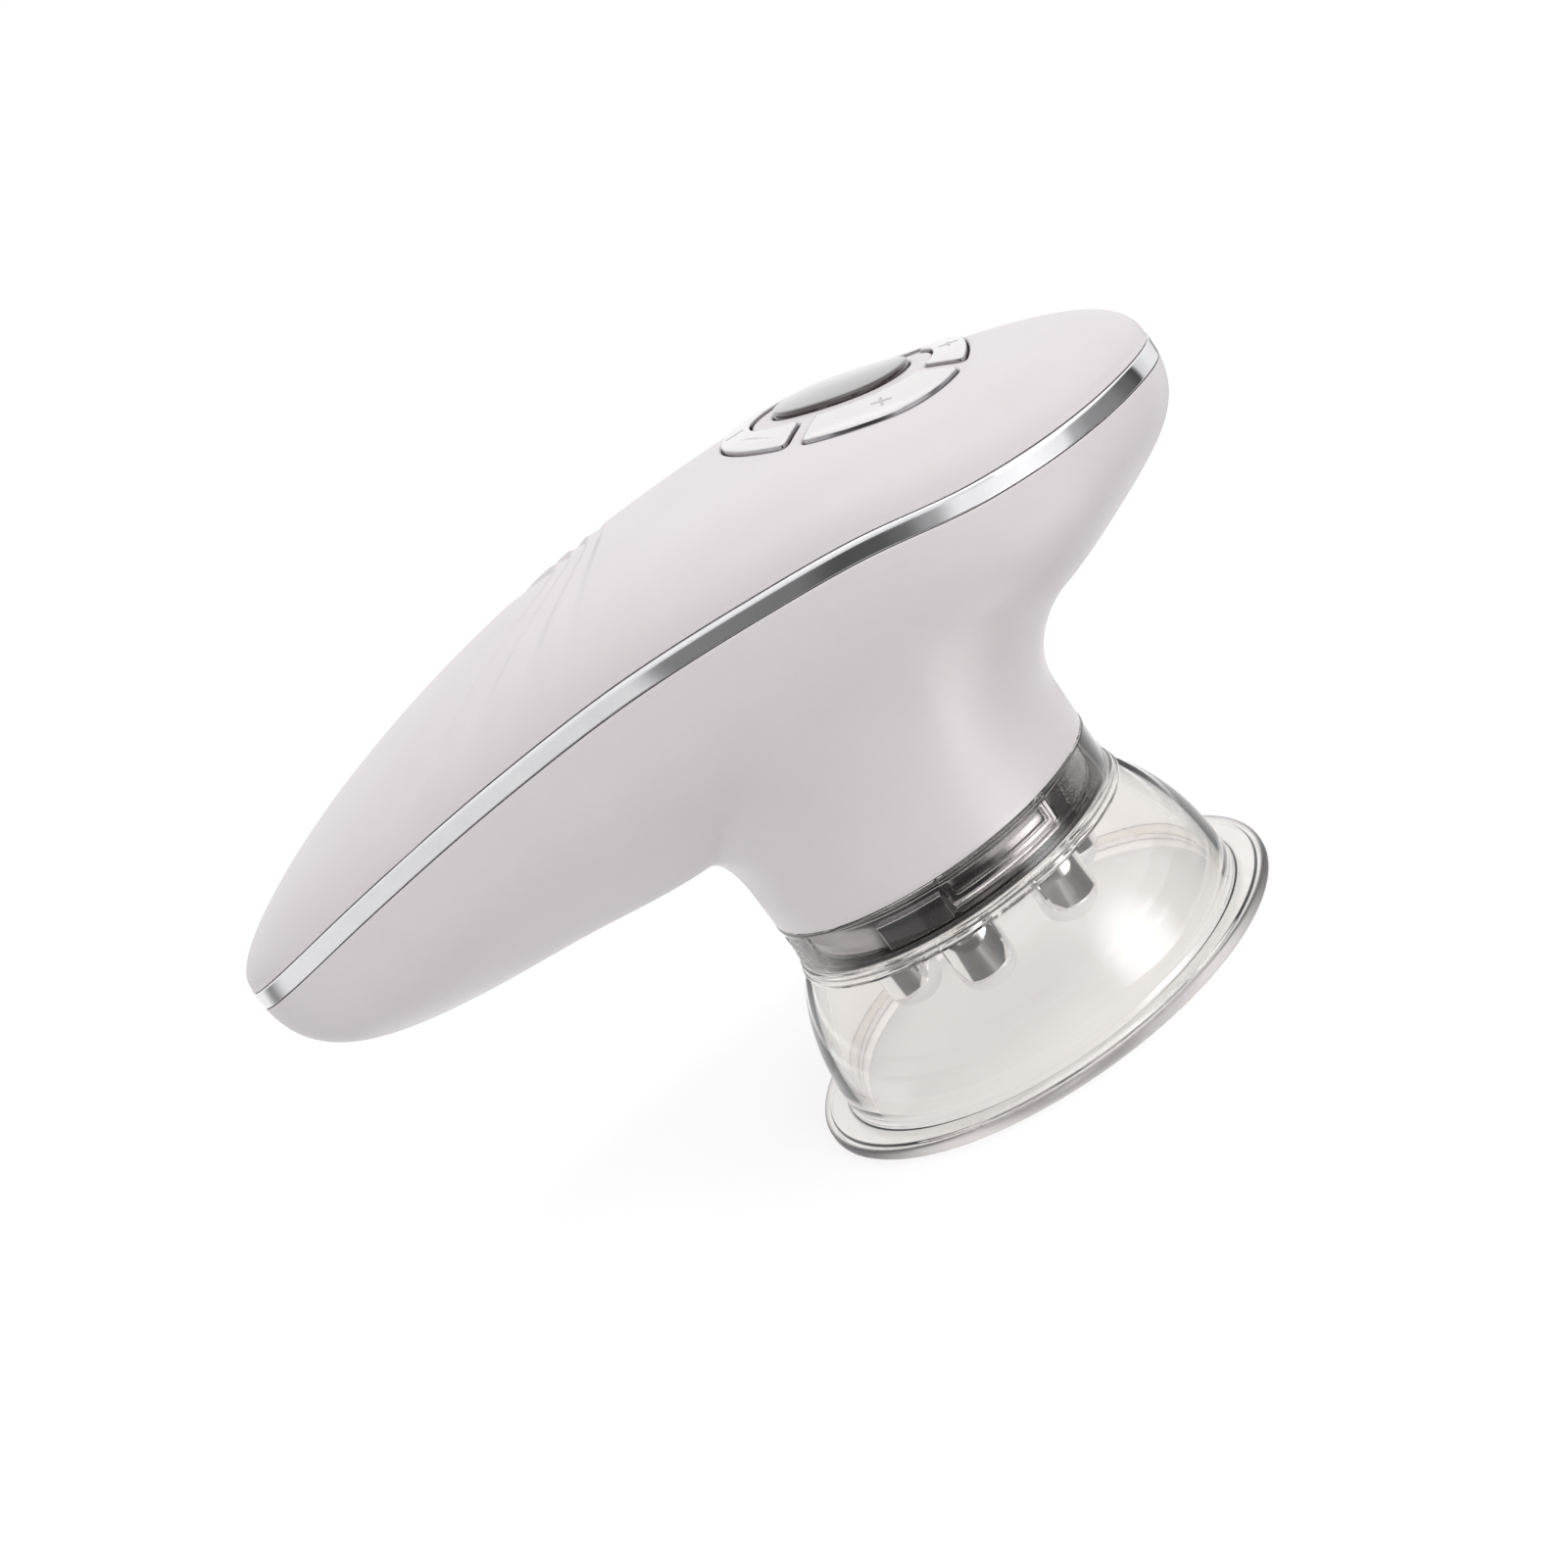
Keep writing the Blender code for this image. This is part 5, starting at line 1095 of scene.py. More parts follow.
    def build(self, cutters: Sequence[Object]) -> None:
        """Builds and dresses the halves and the band.

        Args:
            cutters: Solids to cut out of the crown for the lens and the keys.
        """
        crown = skinned("crown_shell", self.crown_rows(), wrap=True)
        combine(crown, cutters, "DIFFERENCE")
        seat(crown, "white_shell", BODY, "white_shell", "top_housing")
        under = skinned("under_shell", self.under_rows())
        wall = under.modifiers.new("wall", "SOLIDIFY")
        wall.thickness = self.wall
        wall.offset = -1.0
        wall.use_even_offset = False
        low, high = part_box("charge_socket")
        middle = (low + high) / 2
        hole = box("socket_opening", Vector(self.socket_size), Vector((low.x, 0.0, middle.z)))
        combine(under, [bevelled(hole, self.socket_rounding, self.socket_steps)], "DIFFERENCE")
        seat(under, "white_shell", BODY, "white_shell", "lower_housing")
        self.band()

    def band(self) -> None:
        """Sweeps the polished band round the seam."""
        x, y = FORM.outline(self.band_depth / 2 + self.inset)
        level = FORM.seam(FORM.outline()[0]) - GAP - self.band_height / 2
        count = len(x)
        edges = [(i, (i + 1) % count) for i in range(count)]
        route = new_mesh("trim_band_route", np.stack([x, y, level], 1).tolist(), [], edges)
        band = linked("seam_band", route)
        apply_nodes(
            band, swept_band_tree(), Height=self.band_height + 2 * self.band_grow, Depth=self.band_depth,
            Rounding=self.band_rounding, Material=FINISHES.built["polished_band"],
        )
        close_mesh(band)
        seat(band, "polished_band", BODY, "polished_band", "trim_band")


def apply_nodes(obj: Object, tree: GeometryNodeTree, **values: object) -> None:
    """Runs a geometry tree on an object and keeps the result as plain mesh.

    Args:
        obj: The object.
        tree: The geometry tree.
        values: Its named inputs.
    """
    modifier = obj.modifiers.new(tree.name, "NODES")
    modifier.node_group = tree
    for item in tree.interface.items_tree:
        if item.in_out == "INPUT" and item.name in values:
            modifier[item.identifier] = values[item.name]
    bake_modifiers(obj)


def close_mesh(obj: Object) -> None:
    """Merges doubles, turns the faces outwards and shades the mesh smooth with hard edges kept.

    Args:
        obj: The object.
    """
    work = bmesh.new()
    work.from_mesh(obj.data)
    bmesh.ops.remove_doubles(work, verts=work.verts, dist=MERGE_DISTANCE)
    bmesh.ops.recalc_face_normals(work, faces=work.faces)
    if work.calc_volume(signed=True) < 0:
        bmesh.ops.reverse_faces(work, faces=work.faces)
    work.to_mesh(obj.data)
    work.free()
    smooth(obj.data)


def geometry_tree(name: str, **inputs: str) -> tuple[Tree, NodeOutputs]:
    """New geometry tree with named inputs and a material.

    Args:
        name: The tree's name.
        inputs: The kind of each input between the geometry and the material, by name.

    Returns:
        The tree and the sockets of its inputs.
    """
    group = bpy.data.node_groups.new(name, "GeometryNodeTree")
    socket(group, "Geometry", "Geometry")
    socket(group, "Geometry", "Geometry", output=True)
    for label, kind in (*inputs.items(), ("Material", "Material")):
        socket(group, label, kind)
    tree = Tree(group)
    return tree, tree.add("NodeGroupInput").outputs


def end_tree(tree: Tree, geometry: Node, material: NodeSocket) -> GeometryNodeTree:
    """Ends a geometry tree in real geometry with its material.

    Args:
        tree: The tree.
        geometry: The node that has made it.
        material: The material's socket.

    Returns:
        The finished tree.
    """
    real = tree.add("GeometryNodeRealizeInstances", {0: geometry.outputs[0]})
    dressed = tree.add("GeometryNodeSetMaterial", {"Geometry": real.outputs[0], "Material": material})
    tree.add("NodeGroupOutput", {0: dressed.outputs[0]})
    return tree.tree


def swept_band_tree() -> GeometryNodeTree:
    """Tree that sweeps a rounded rectangle along the object's edges.

    Returns:
        The tree, with Height, Depth, Rounding and Material in.
    """
    tree, given = geometry_tree("swept_band", Height="Float", Depth="Float", Rounding="Float")
    route = tree.add("GeometryNodeMeshToCurve", {0: given["Geometry"]})
    upright = tree.add("GeometryNodeSetCurveNormal", {0: route.outputs[0]}, mode="Z_UP")
    sides = {"Width": given["Depth"], "Height": given["Height"]}
    rectangle = tree.add("GeometryNodeCurvePrimitiveQuadrilateral", sides).outputs[0]
    rounding = {"Curve": rectangle, "Radius": given["Rounding"], "Count": CORNER_STEPS}
    soft = tree.add("GeometryNodeFilletCurve", rounding, mode="POLY")
    swept = tree.add("GeometryNodeCurveToMesh", {0: upright.outputs[0], "Profile Curve": soft.outputs[0]})
    return end_tree(tree, swept, given["Material"])


def ring_tree() -> GeometryNodeTree:
    """Tree that stands copies of the object's mesh round a circle.

    Returns:
        The tree, with Count, Radius, Phase, Centre and Material in.
    """
    tree, given = geometry_tree("ring_of_copies", Count="Int", Radius="Float", Phase="Float", Centre="Vector")
    ring = tree.add("GeometryNodeMeshCircle", {"Vertices": given["Count"], "Radius": given["Radius"]})
    turn = tree.add("ShaderNodeCombineXYZ", {2: given["Phase"]})
    placed = tree.add("GeometryNodeTransform", {
        "Geometry": ring.outputs[0], "Rotation": turn.outputs[0], "Translation": given["Centre"],
    })
    copies = {"Points": placed.outputs[0], "Instance": given["Geometry"]}
    return end_tree(tree, tree.add("GeometryNodeInstanceOnPoints", copies), given["Material"])


def stipple_tree() -> GeometryNodeTree:
    """Tree that scatters small bumps over the object's faces, alike each run.

    Returns:
        The tree, with Pitch, Size, Seed and Material in.
    """
    tree, given = geometry_tree("stipple", Pitch="Float", Size="Float", Seed="Int")
    spread = tree.add(
        "GeometryNodeDistributePointsOnFaces",
        {"Mesh": given["Geometry"], "Distance Min": given["Pitch"], "Density Max": STIPPLE_DENSITY,
         "Seed": given["Seed"]},
        distribute_method="POISSON",
    ).outputs
    bump = tree.add("GeometryNodeMeshIcoSphere", {"Radius": given["Size"], "Subdivisions": 1})
    least, most = STIPPLE_SIZES
    size = tree.add("FunctionNodeRandomValue", {2: least, 3: most, "Seed": given["Seed"]}, data_type="FLOAT")
    bumps = tree.add("GeometryNodeInstanceOnPoints", {
        "Points": spread["Points"], "Instance": bump.outputs[0], "Rotation": spread["Rotation"],
        "Scale": size.outputs[1],
    })
    return end_tree(tree, bumps, given["Material"])


class KeySide(Enum):
    """The keys of the ring, each with the angle of its middle and half its arc, in degrees."""

    FRONT = (0.0, 36.0)
    LEFT = (74.0, 38.0)
    REAR = (180.0, 68.0)
    RIGHT = (-74.0, 38.0)

    @property
    def middle(self) -> float:
        """Angle of the key's middle."""
        return math.radians(self.value[0])

    @property
    def half_arc(self) -> float:
        """Angle from the key's middle to the middle of the gap at its end."""
        return math.radians(self.value[1])

    @property
    def body(self) -> str:
        """The body and the node of the key."""
        return "key_" + self.name.lower()


@dataclass
class ControlPanel:
    """The display's lens and the four keys round it."""

    lens_proud: float = 0.0009
    lens_thickness: float = 0.0030
    lens_rounding: float = 0.0005
    lens_steps: int = 160
    lens_rings: int = 14
    inner: float = 0.0160
    ring_length: float = 0.0428
    ring_width: float = 0.0504
    front_power: float = 2.5
    rear_power: float = 2.0
    slot: float = 0.0030
    corner: float = 0.0010
    least_corner: float = 0.00012
    corner_steps: int = 5
    points_along: int = 44
    points_across: int = 14
    proud: float = 0.00054
    rim_height: float = 0.0003
    rim_bead: tuple[tuple[float, float], ...] = ((0.00008, 0.00006), (0.00014, 0.00002))
    thickness: float = 0.0032
    foot_chamfer: float = 0.0002
    rounding: float = 0.0006
    top_shares: tuple[float, ...] = (0.35, 0.55, 0.75, 0.9, 0.97)
    chamfer: float = 0.00035
    cut_depth: float = 0.0075
    cut_above: float = 0.002
    mark_arm: float = 0.0017
    mark_width: float = 0.00055
    mark_height: float = 0.00008
    mark_depth: float = 0.0002
    mark_side: float = 0.6
    mark_top: float = 0.86

    def reach(self, angle: np.ndarray) -> np.ndarray:
        """Reach of the ring's outer edge at angles from its front."""
        power = np.where(np.cos(angle) > 0, self.front_power, self.rear_power)
        along = np.abs(np.cos(angle)) / (self.ring_length / 2)
        across = np.abs(np.sin(angle)) / (self.ring_width / 2)
        return (along**power + across**power) ** (-1 / power)

    def half_width(self, side: KeySide) -> float:
        """Half the key's width at its middle."""
        return float(self.reach(np.array(side.middle)) - self.inner) / 2

    def loop(self, side: KeySide, inset: float) -> tuple[np.ndarray, np.ndarray]:
        """Outline of a key in the panel's plane.

        Args:
            side: Which key.
            inset: How far it is drawn in; below zero it grows.

        Returns:
            Its u and v values.
        """
        half_width = self.half_width(side) - inset
        half_length = (self.inner + self.half_width(side)) * side.half_arc - self.slot / 2 - inset
        corner = max(self.corner - inset, self.least_corner)
        corners = section(-half_length, half_length, -half_width, half_width, corner, corner)
        outline = rounded(corners, self.corner_steps)
        dense: Profile = []
        for i, here in enumerate(outline):
            after = outline[(i + 1) % len(outline)]
            count = 1
            if i % (self.corner_steps + 1) == self.corner_steps:
                count = self.points_along if abs(after[0] - here[0]) > half_length else self.points_across
            for share in np.arange(count) / count:
                dense.append(tuple(a + share * (b - a) for a, b in zip(here, after)))
        along, across = np.array(dense).T / np.array([[half_length], [half_width]])
        angle = side.middle + along * side.half_arc
        for _ in range(3):
            outer = self.reach(angle) - inset
            radius = self.inner + inset + (outer - self.inner - inset) * (1 + across) / 2
            angle = side.middle + along * (side.half_arc - (self.slot / 2 + inset) / radius)
        return radius * np.cos(angle), radius * np.sin(angle)

    def key_rows(self, side: KeySide, grow: float, levels: Sequence[tuple[float, float]]) -> Rows:
        """Rows of a key-shaped solid, from the inset and the height over the crown of each."""
        return [PANEL.on_crown(*self.loop(side, inset - grow), height) for inset, height in levels]

    def disc(self, radius: float, height: float) -> np.ndarray:
        """Points of a circle round the lens's middle, at a height over the crown."""
        cos, sin = circle(self.lens_steps)
        return PANEL.on_crown(radius * cos, radius * sin, height)

    def cutters(self) -> list[Object]:
        """Solids that cut the lens's window and the keys' slots, with a chamfer at the crown.

        Returns:
            The solids.
        """
        levels = [(0.0, -self.cut_depth), (0.0, -self.chamfer)]
        levels += [(-self.chamfer, 0.0), (-self.chamfer, self.cut_above)]
        made = [
            skinned(f"slot_{side.name.lower()}", self.key_rows(side, GAP, levels), cap=True)
            for side in KeySide
        ]
        rows = [self.disc(PANEL.lens_radius + GAP - inset, height) for inset, height in levels]
        return made + [skinned("lens_window", rows, cap=True)]

    def key(self, side: KeySide) -> None:
        """Builds one key: a white cap in a thin chrome rim, darkened as a painted reflection.

        Args:
            side: Which key.
        """
        rim, foot = self.rim_height, self.foot_chamfer
        levels = [(foot, -self.thickness), (0.0, -self.thickness + foot), (0.0, rim)]
        rim_rows = len(levels)
        levels += [(inset, rim + height) for inset, height in self.rim_bead]
        drop = self.proud - rim
        cap = self.rim_bead[-1][0]
        levels += [
            (cap + self.rounding * (1 - cos), rim + drop * sin) for cos, sin in quarter(QUARTER_STEPS)[1:]
        ]
        levels += [(self.half_width(side) * share, self.proud) for share in self.top_shares]
        rows = self.key_rows(side, 0.0, levels)
        obj = skinned(side.body + "_cap", rows, cap=True)
        # The rim takes the dark chrome: its darkness is a painted dark reflection along the key's edge.
        for finish in ("white_key", "dark_chrome"):
            obj.data.materials.append(FINISHES.built[finish])
        for face in obj.data.polygons[: len(rows[0]) * (rim_rows + 1)]:
            face.material_index = 1
        seat(obj, "white_key", side.body, "white_key", side.body)

    def mark(self, side: KeySide) -> None:
        """Raises a plain plus or minus on a key.

        Args:
            side: Which key.
        """
        reach = self.inner + self.half_width(side)
        centre_u, centre_v = reach * math.cos(side.middle), reach * math.sin(side.middle)
        thin = self.mark_width / 2
        arms = [(self.mark_arm, thin)]
        if side in (KeySide.RIGHT, KeySide.FRONT):
            arms.append((thin, self.mark_arm))
        top = (self.mark_top, self.mark_height)
        levels = ((1.0, -self.mark_depth), (1.0, self.mark_height * self.mark_side), top)
        pieces = []
        for number, (half_u, half_v) in enumerate(arms):
            outline = np.array(rounded(section(-half_u, half_u, -half_v, half_v, thin, thin)))
            rows: Rows = []
            for share, height in levels:
                u, v = outline.T * share
                rows.append(PANEL.on_crown(centre_u + u, centre_v + v, self.proud + height))
            pieces.append(skinned(f"{side.body}_mark_{number}", rows, cap=True))
        first = pieces[0]
        if len(pieces) > 1:
            combine(first, pieces[1:], "UNION")
        first.name = side.body + "_mark"
        seat(first, "mark_grey", side.body, "white_key")

    def lens(self) -> None:
        """Builds the display's dark lens with a rounded edge."""
        cos, sin = circle(self.lens_steps)
        pole = np.zeros(1)
        rows: Rows = [PANEL.flat(pole, pole, -self.lens_thickness)]
        for share in (0.5, 1.0):
            reach = PANEL.lens_radius * share
            rows.append(PANEL.flat(reach * cos, reach * sin, -self.lens_thickness))
        edge = self.lens_rounding
        for along, up in quarter(QUARTER_STEPS):
            rows.append(self.disc(PANEL.lens_radius - edge * (1 - along), self.lens_proud - edge * (1 - up)))
        for share in np.linspace(1, 0, self.lens_rings)[1:-1]:
            rows.append(self.disc((PANEL.lens_radius - edge) * share, self.lens_proud))
        rows.append(PANEL.on_crown(pole, pole, self.lens_proud))
        seat(skinned("smoked_lens", rows), "dark_lens", BODY, "dark_lens", "display_lens")

    def build(self) -> None:
        """Builds the lens, the keys and their marks."""
        self.lens()
        for side in KeySide:
            self.key(side)
            self.mark(side)


@dataclass
class SuctionCup:
    """The clear cup: rim, bell, collar, bayonet lugs and grip patches."""

    rim_radius: float = 0.0450
    rim_thickness: float = 0.0022
    rim_rounding: float = 0.0007
    rim_step: tuple[float, float] = (0.0014, 0.0003)
    rim_step_slope: float = 0.0002
    edge: float = 0.0003
    fine_edge: float = 0.0002
    soft_edge: float = 0.0004
    foot_radius: float = 0.0395
    foot_start: float = 0.0002
    foot_fillet: float = 0.0009
    foot_rounding: float = 0.0007
    bell_wall: float = 0.0024
    shoulder_wall: float = 0.0012
    ledge_height: float = 0.0007
    bell_power: float = 2.35
    bell_margin: float = 0.0012
    bell_rings: int = 40
    collar_radius: float = 0.0314
    collar_wall: float = 0.0011
    collar_bottom: float = 0.0278
    collar_top: float = 0.0372
    bead: float = 0.0005
    bead_levels: tuple[float, float] = (0.0012, 0.0008)
    bead_root: tuple[float, float] = (0.0001, 0.0005)
    corner_steps: int = 5
    steps: int = 192
    lugs: int = 3
    lug_middle: float = math.radians(-69)
    lug_arc: float = math.radians(43)
    lug_depth: float = 0.0010
    lug_low: float = 0.0315
    lug_high: float = 0.0369
    lug_steps: int = 40
    lug_end: float = 0.0006
    pocket_inset: float = 0.0012
    pocket_above: float = 0.001
    pocket_steps: int = 38
    pocket_end: float = 0.0005
    patch_start: float = math.radians(-42)
    patch_arc: float = math.radians(22)
    patch_low: float = 0.0300
    patch_high: float = 0.0362
    patch_grid: tuple[int, int] = (8, 24)
    stipple_pitch: float = 0.00034
    stipple_size: float = 0.00016
    stipple_sunk: float = 0.3
    stipple_seed: int = 3

    def lug_span(self, number: int) -> tuple[float, float]:
        """Angles where a lug starts and stops."""
        middle = self.lug_middle + number * math.tau / self.lugs
        return middle - self.lug_arc / 2, middle + self.lug_arc / 2

    def bell(self, height: float) -> float:
        """Outer radius of the bell at a height."""
        share = (height - self.rim_thickness) / (self.collar_bottom - self.rim_thickness)
        return self.collar_radius + (self.foot_radius - self.collar_radius) * (1 - share**self.bell_power)

    def profile(self) -> Profile:
        """Closed section of the cup, down its outside and up its inside.

        Returns:
            The section's points as radius and height.
        """
        foot = self.bell(self.rim_thickness)
        bottom, top, collar = self.collar_bottom, self.collar_top, self.collar_radius
        margin = self.bell_margin
        heights = np.linspace(bottom - margin, self.rim_thickness + margin, self.bell_rings)
        bore, shoulder = collar - self.collar_wall, self.bell(heights[0])
        bead_top, bead_low = self.bead_levels
        root_out, root_down = self.bead_root
        step_in, step_down = self.rim_step
        step = self.rim_radius - step_in
        low_rim = self.rim_thickness - step_down
        corners: Corners = [
            (bore, top, self.edge),
            (collar, top, self.edge),
            (collar, bottom + bead_top, self.soft_edge),
            (collar + self.bead, bottom + bead_low, self.edge),
            (collar + self.bead, bottom, self.edge),
            (shoulder + root_out, bottom - root_down, self.soft_edge),
        ]
        corners += [(self.bell(height), height, 0.0) for height in heights]
        corners += [
            (foot + self.foot_start, self.rim_thickness, self.foot_fillet),
            (step - self.rim_step_slope, self.rim_thickness, self.fine_edge),
            (step, low_rim, self.fine_edge),
            (self.rim_radius, low_rim, self.rim_rounding),
            (self.rim_radius, 0.0, self.rim_rounding),
            (foot - self.bell_wall, 0.0, self.foot_rounding),
        ]
        walls = np.interp(heights, (self.rim_thickness, bottom), (self.bell_wall, self.shoulder_wall))
        inside = zip(heights[::-1], walls[::-1])
        corners += [(self.bell(height) - wall, height, 0.0) for height, wall in inside]
        corners += [
            (shoulder - self.shoulder_wall - self.edge, bottom - self.ledge_height, self.edge),
            (collar - self.bell_wall, bottom - self.ledge_height, self.edge),
            (collar - self.bell_wall, bottom, self.edge),
            (bore, bottom, self.edge),
        ]
        return rounded(corners, self.corner_steps)

    def lug(self, number: int) -> Object:
        """One bayonet lug with a recessed face.

        Args:
            number: Which lug.

        Returns:
            The solid.
        """
        bore = self.collar_radius - self.collar_wall
        face, root = bore - self.lug_depth, bore + self.collar_wall / 3
        start, stop = self.lug_span(number)
        corners = section(face, root, self.lug_low, self.lug_high, self.soft_edge, 0.0)
        lug = ring_block(f"lug_{number}", corners, start, stop, self.lug_steps, self.lug_end)
        inset = self.pocket_inset
        corners = section(
            face - self.pocket_above, bore - self.lug_depth / 2, self.lug_low + inset, self.lug_high - inset,
            self.edge, self.edge,
        )
        start, stop = start + inset / bore, stop - inset / bore
        pocket = ring_block(f"lug_pocket_{number}", corners, start, stop, self.pocket_steps, self.pocket_end)
        return combine(lug, [pocket], "DIFFERENCE")

    def patch(self, number: int) -> Object:
        """Stippled grip patch on the collar's outside.

        Args:
            number: Which patch.

        Returns:
            The bumps as one mesh.
        """
        high, wide = self.patch_grid
        start = self.patch_start + number * math.tau / self.lugs
        radius = self.collar_radius - self.stipple_size * self.stipple_sunk
        points = [
            (FORM.cup_x + radius * math.cos(turn), radius * math.sin(turn), level)
            for level in np.linspace(self.patch_low, self.patch_high, high)
            for turn in np.linspace(start, start + self.patch_arc, wide)
        ]
        faces = [
            (r * wide + i, r * wide + i + 1, (r + 1) * wide + i + 1, (r + 1) * wide + i)
            for r in range(high - 1) for i in range(wide - 1)
        ]
        obj = new_object(f"grip_patch_{number + 1}", new_mesh(f"grip_{number}", points, faces))
        apply_nodes(
            obj, stipple_tree(), Pitch=self.stipple_pitch, Size=self.stipple_size,
            Seed=self.stipple_seed + number, Material=FINISHES.built["frosted_plastic"],
        )
        obj.data.shade_smooth()
        return obj

    def build(self) -> None:
        """Builds and dresses the cup and its grip patches."""
        cup = turned("clear_cup", self.profile(), self.steps, FORM.centre)
        combine(cup, [self.lug(number) for number in range(self.lugs)], "UNION")
        seat(cup, "clear_plastic", "cup", "clear_plastic", "cup")
        for number in range(self.lugs):
            seat(self.patch(number), "frosted_plastic", "cup", "clear_plastic")


@dataclass
class SuctionBase:
    """The metallised base ring, the plate, the seal, the posts and the nozzle."""

    steps: int = 160
    edge: float = 0.0003
    fine_edge: float = 0.0002
    soft_edge: float = 0.0005
    ring_radius: float = 0.0290
    ring_bore: float = 0.0263
    ring_low: float = 0.0298
    ring_high: float = 0.0410
    ledge: float = 0.0090
    ledge_thickness: float = 0.0025
    groove: float = 0.0004
    groove_levels: tuple[float, ...] = (0.0362, 0.0360, 0.0357, 0.0355)
    flange: float = 0.0010
    flange_root: float = 0.0006
    flange_height: float = 0.0014
    flange_steps: int = 32
    stop_height: float = 0.0047
    stop_arc: float = math.radians(24)
    stop_clearance: float = math.radians(1.5)
    stop_steps: int = 24
    plate_radius: float = 0.0260
    plate_low: float = 0.0284
    plate_high: float = 0.0308
    plate_rim: tuple[float, float] = (0.0014, 0.0017)
    plate_dish: float = 0.0004
    seal_width: float = 0.0025
    seal_lip: tuple[float, float] = (0.0009, 0.0013)
    seal_groove: float = 0.0004
    post_circle: float = 0.0180
    posts: int = 6
    post_phase: float = math.radians(20)
    post_radius: float = 0.0052
    post_steps: int = 64
    post_tip: float = 0.0111
    post_dome: float = 0.0042
    post_dome_rings: int = 18
    post_top: float = 0.0281
    post_chamfer: float = 0.00009
    post_bands: tuple[float, float] = (0.0004, 0.00005)
    stem_radius: float = 0.0018
    stem_top: float = 0.0325
    nozzle_radius: float = 0.0068
    nozzle_neck: float = 0.0013
    nozzle_height: float = 0.0030
    nozzle_rim: float = 0.0010
    nozzle_steps: int = 72
    nozzle_hole: float = 0.0007
    nozzle_holes: int = 8
    hole_circle: float = 0.55
    hole_phase: float = 0.2
    hole_reach: tuple[float, float] = (0.0012, 0.001)
    hole_steps: int = 14

    def ring(self, cup: SuctionCup) -> None:
        """Builds the base ring with its flanges, stops and turned grooves.

        Args:
            cup: The cup, whose lugs the flanges lie under.
        """
        edge, fine = self.edge, self.fine_edge
        low, high, radius = self.ring_low, self.ring_high, self.ring_radius
        inner, ledge_low = self.ring_bore - self.ledge, high - self.ledge_thickness
        depths = (0.0, self.groove, self.groove, 0.0)
        corners: Corners = [(inner, high, edge), (radius, high, edge)]
        corners += [(radius - depth, level, fine) for level, depth in zip(self.groove_levels, depths)]
        corners += [
            (radius, low, edge), (self.ring_bore, low, edge),
            (self.ring_bore, ledge_low, fine), (inner, ledge_low, edge),
        ]
        ring = turned("bayonet_ring", rounded(corners), self.steps, FORM.centre)
        features = []
        inside, outside = radius - self.flange_root, radius + self.flange
        flange = section(inside, outside, low, low + self.flange_height, 0.0, edge)
        stopper = section(inside, outside, low, low + self.stop_height, 0.0, edge)
        for number in range(cup.lugs):
            start, stop = cup.lug_span(number)
            features.append(ring_block(f"flange_{number}", flange, start, stop, self.flange_steps, edge))
            stop = start - self.stop_clearance
            start = stop - self.stop_arc
            features.append(ring_block(f"stop_{number}", stopper, start, stop, self.stop_steps, edge))
        combine(ring, features, "UNION")
        seat(ring, "dark_chrome", BODY, "dark_chrome", "base_ring")

    def plate(self) -> None:
        """Builds the plate under the base, with its rounded rim."""
        low, high, radius = self.plate_low, self.plate_high, self.plate_radius
        rim, dish = self.plate_rim
        corners = [
            (0.0, high, 0.0), (radius, high, self.edge), (radius, low, self.soft_edge),
            (radius - rim, low, self.fine_edge), (radius - dish, low + self.plate_dish, self.fine_edge),
            (0.0, low + self.plate_dish, 0.0),
        ]
        plate = turned("base_cover", rounded(corners), self.steps, FORM.centre)
        seat(plate, "white_shell", BODY, "white_shell", "base_plate")

    def seal(self) -> None:
        """Builds the seal with two lips."""
        low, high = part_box("seal_ring")
        outer = (high.x - low.x) / 2
        inner = outer - self.seal_width
        near, far = self.seal_lip
        groove = self.seal_groove
        corners = [
            (inner, high.z, self.edge), (outer - near, high.z, groove),
            (outer - far, high.z - groove, self.fine_edge), (outer, high.z, groove),
            (outer, low.z, groove), (inner, low.z, self.edge),
        ]
        seal = turned("seal_lip_ring", rounded(corners), self.steps, FORM.centre)
        # Its dark finish is painted shade under the ring, in place of the light silicone of its slot.
        seat(seal, "seal_rubber", BODY, "silicone", "seal_ring")

    def post_set(self) -> None:
        """Stands the polished posts round the plate."""
        top, radius, foot = self.post_top, self.post_radius, self.post_tip + self.post_dome
        profile: Profile = [
            (0.0, self.stem_top), (self.stem_radius, self.stem_top), (self.stem_radius, top),
            (radius - self.edge, top), (radius - self.post_chamfer, top - self.post_chamfer),
            (radius, top - self.edge),
        ]
        profile += [(radius, foot + band) for band in self.post_bands]
        profile += [
            (radius * cos, self.post_tip + self.post_dome * (1 - sin))
            for cos, sin in quarter(self.post_dome_rings)[:-1]
        ]
        posts = turned("contact_posts", profile + [(0.0, self.post_tip)], self.post_steps)
        apply_nodes(
            posts, ring_tree(), Count=self.posts, Radius=self.post_circle, Phase=self.post_phase,
            Centre=(*FORM.centre, 0.0), Material=FINISHES.built["polished_band"],
        )
        smooth(posts.data)
        nodes = [f"post_{number + 1}" for number in range(self.posts)]
        seat(posts, "polished_band", BODY, "polished_band", *nodes)

